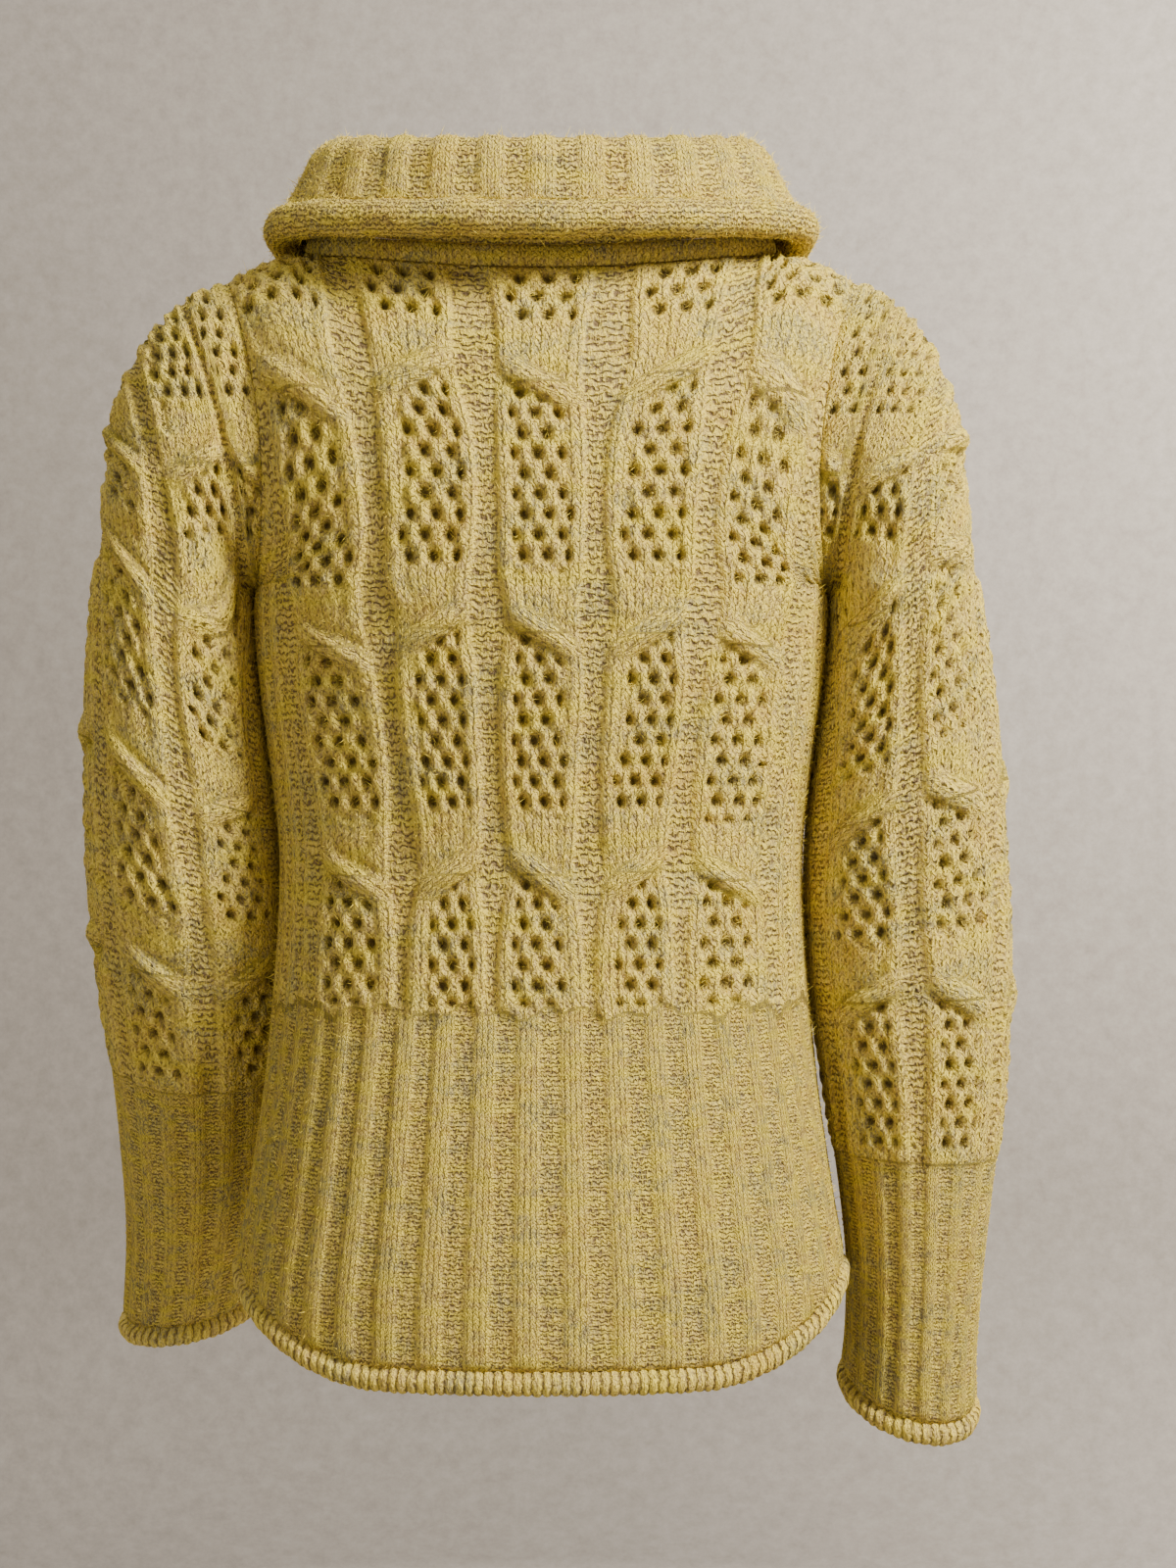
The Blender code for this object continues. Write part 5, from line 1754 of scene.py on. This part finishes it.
class CARDIGAN_OT_stage(bpy.types.Operator):
    """Set up the floor, the wall, the lights and the camera"""

    bl_idname = "cardigan.stage"
    bl_label = "Stage"

    def execute(self, context):
        stage = context.scene.cardigan_stage
        wall, bend, top = 3.4, 0.6, 1.7
        turns = np.linspace(0, math.pi / 2, 17)
        profile = [(0.001, FLOOR_Z)]
        profile += [(wall - bend + bend * math.sin(t), FLOOR_Z + bend - bend * math.cos(t)) for t in turns]
        profile += [(wall, top)]
        around = np.linspace(0, 2 * math.pi, 96, endpoint=False)
        grid = np.array([[(r * math.cos(t), r * math.sin(t), z) for t in around] for r, z in profile]) / MM
        faces, _ = grid_faces(*grid.shape[:2], 0, True, False)
        backdrop = mesh_object("backdrop", grid.reshape(-1, 3), [faces], {}, {})
        backdrop.data.materials.append(bpy.data.materials["painted plaster"])
        middle = (0.0, 0.0, -0.3)
        lights = (
            ("key", (1.75, -1.25, 1.35), stage.key_power, 0.8, middle),
            ("fill", (-1.6, -1.9, 0.1), stage.fill_power, 1.8, middle),
            ("far", (-0.7, 2.0, 1.5), stage.far_power, 1.2, middle),
            ("wash", (2.2, 1.0, 0.9), stage.wash_power, 1.0, (1.7, 3.4, 0.2)),
        )
        for name, place, power, size, target in lights:
            lamp = bpy.data.lights.new(name, "AREA")
            lamp.energy = power
            lamp.size = size
            lamp.color = colour("#FFF9EF")[:3]
            holder = bpy.data.objects.new(name, lamp)
            holder.location = place
            aim = np.array(target) - np.array(place)
            down = math.atan2(math.hypot(aim[0], aim[1]), -aim[2])
            holder.rotation_euler = (down, 0, math.atan2(aim[1], aim[0]) - math.pi / 2)
            context.scene.collection.objects.link(holder)
        world = bpy.data.worlds.new("room")
        world.use_nodes = True
        sky = world.node_tree.nodes["Background"]
        sky.inputs["Color"].default_value = colour("#F3EEE8")
        sky.inputs["Strength"].default_value = stage.sky
        context.scene.world = world
        camera = bpy.data.cameras.new("camera")
        camera.lens = stage.lens
        camera.sensor_width = 36.0
        camera.shift_x = stage.shift
        holder = bpy.data.objects.new("camera", camera)
        holder.location = (0, -stage.distance, stage.camera_z)
        holder.rotation_euler = (math.pi / 2, 0, 0)
        context.scene.collection.objects.link(holder)
        context.scene.camera = holder
        return {"FINISHED"}


OPERATORS = (
    CARDIGAN_OT_materials,
    CARDIGAN_OT_stage,
    CARDIGAN_OT_back,
    CARDIGAN_OT_fronts,
    CARDIGAN_OT_sleeves,
    CARDIGAN_OT_collar,
    CARDIGAN_OT_buttons,
)


class CARDIGAN_PT_panel(bpy.types.Panel):
    """Lists the pieces of the cardigan"""

    bl_idname = "CARDIGAN_PT_panel"
    bl_label = "Cardigan"
    bl_space_type = "VIEW_3D"
    bl_region_type = "UI"
    bl_category = "Cardigan"

    def draw(self, context):
        for settings in (context.scene.cardigan_look, context.scene.cardigan_stage):
            box = self.layout.box()
            for name in settings.bl_rna.properties.keys():
                if name not in ("rna_type", "name"):
                    box.prop(settings, name)
        for operator in OPERATORS:
            self.layout.operator(operator.bl_idname)


CLASSES = (CARDIGAN_PG_look, CARDIGAN_PG_stage, *OPERATORS, CARDIGAN_PT_panel)


def register():
    for kind in CLASSES:
        bpy.utils.register_class(kind)
    bpy.types.Scene.cardigan_look = bpy.props.PointerProperty(type=CARDIGAN_PG_look)
    bpy.types.Scene.cardigan_stage = bpy.props.PointerProperty(type=CARDIGAN_PG_stage)


def unregister():
    del bpy.types.Scene.cardigan_stage
    del bpy.types.Scene.cardigan_look
    for kind in reversed(CLASSES):
        bpy.utils.unregister_class(kind)


def main():
    register()
    for operator in OPERATORS:
        group, name = operator.bl_idname.split(".")
        getattr(getattr(bpy.ops, group), name)()
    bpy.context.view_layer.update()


if __name__ == "__main__":
    main()
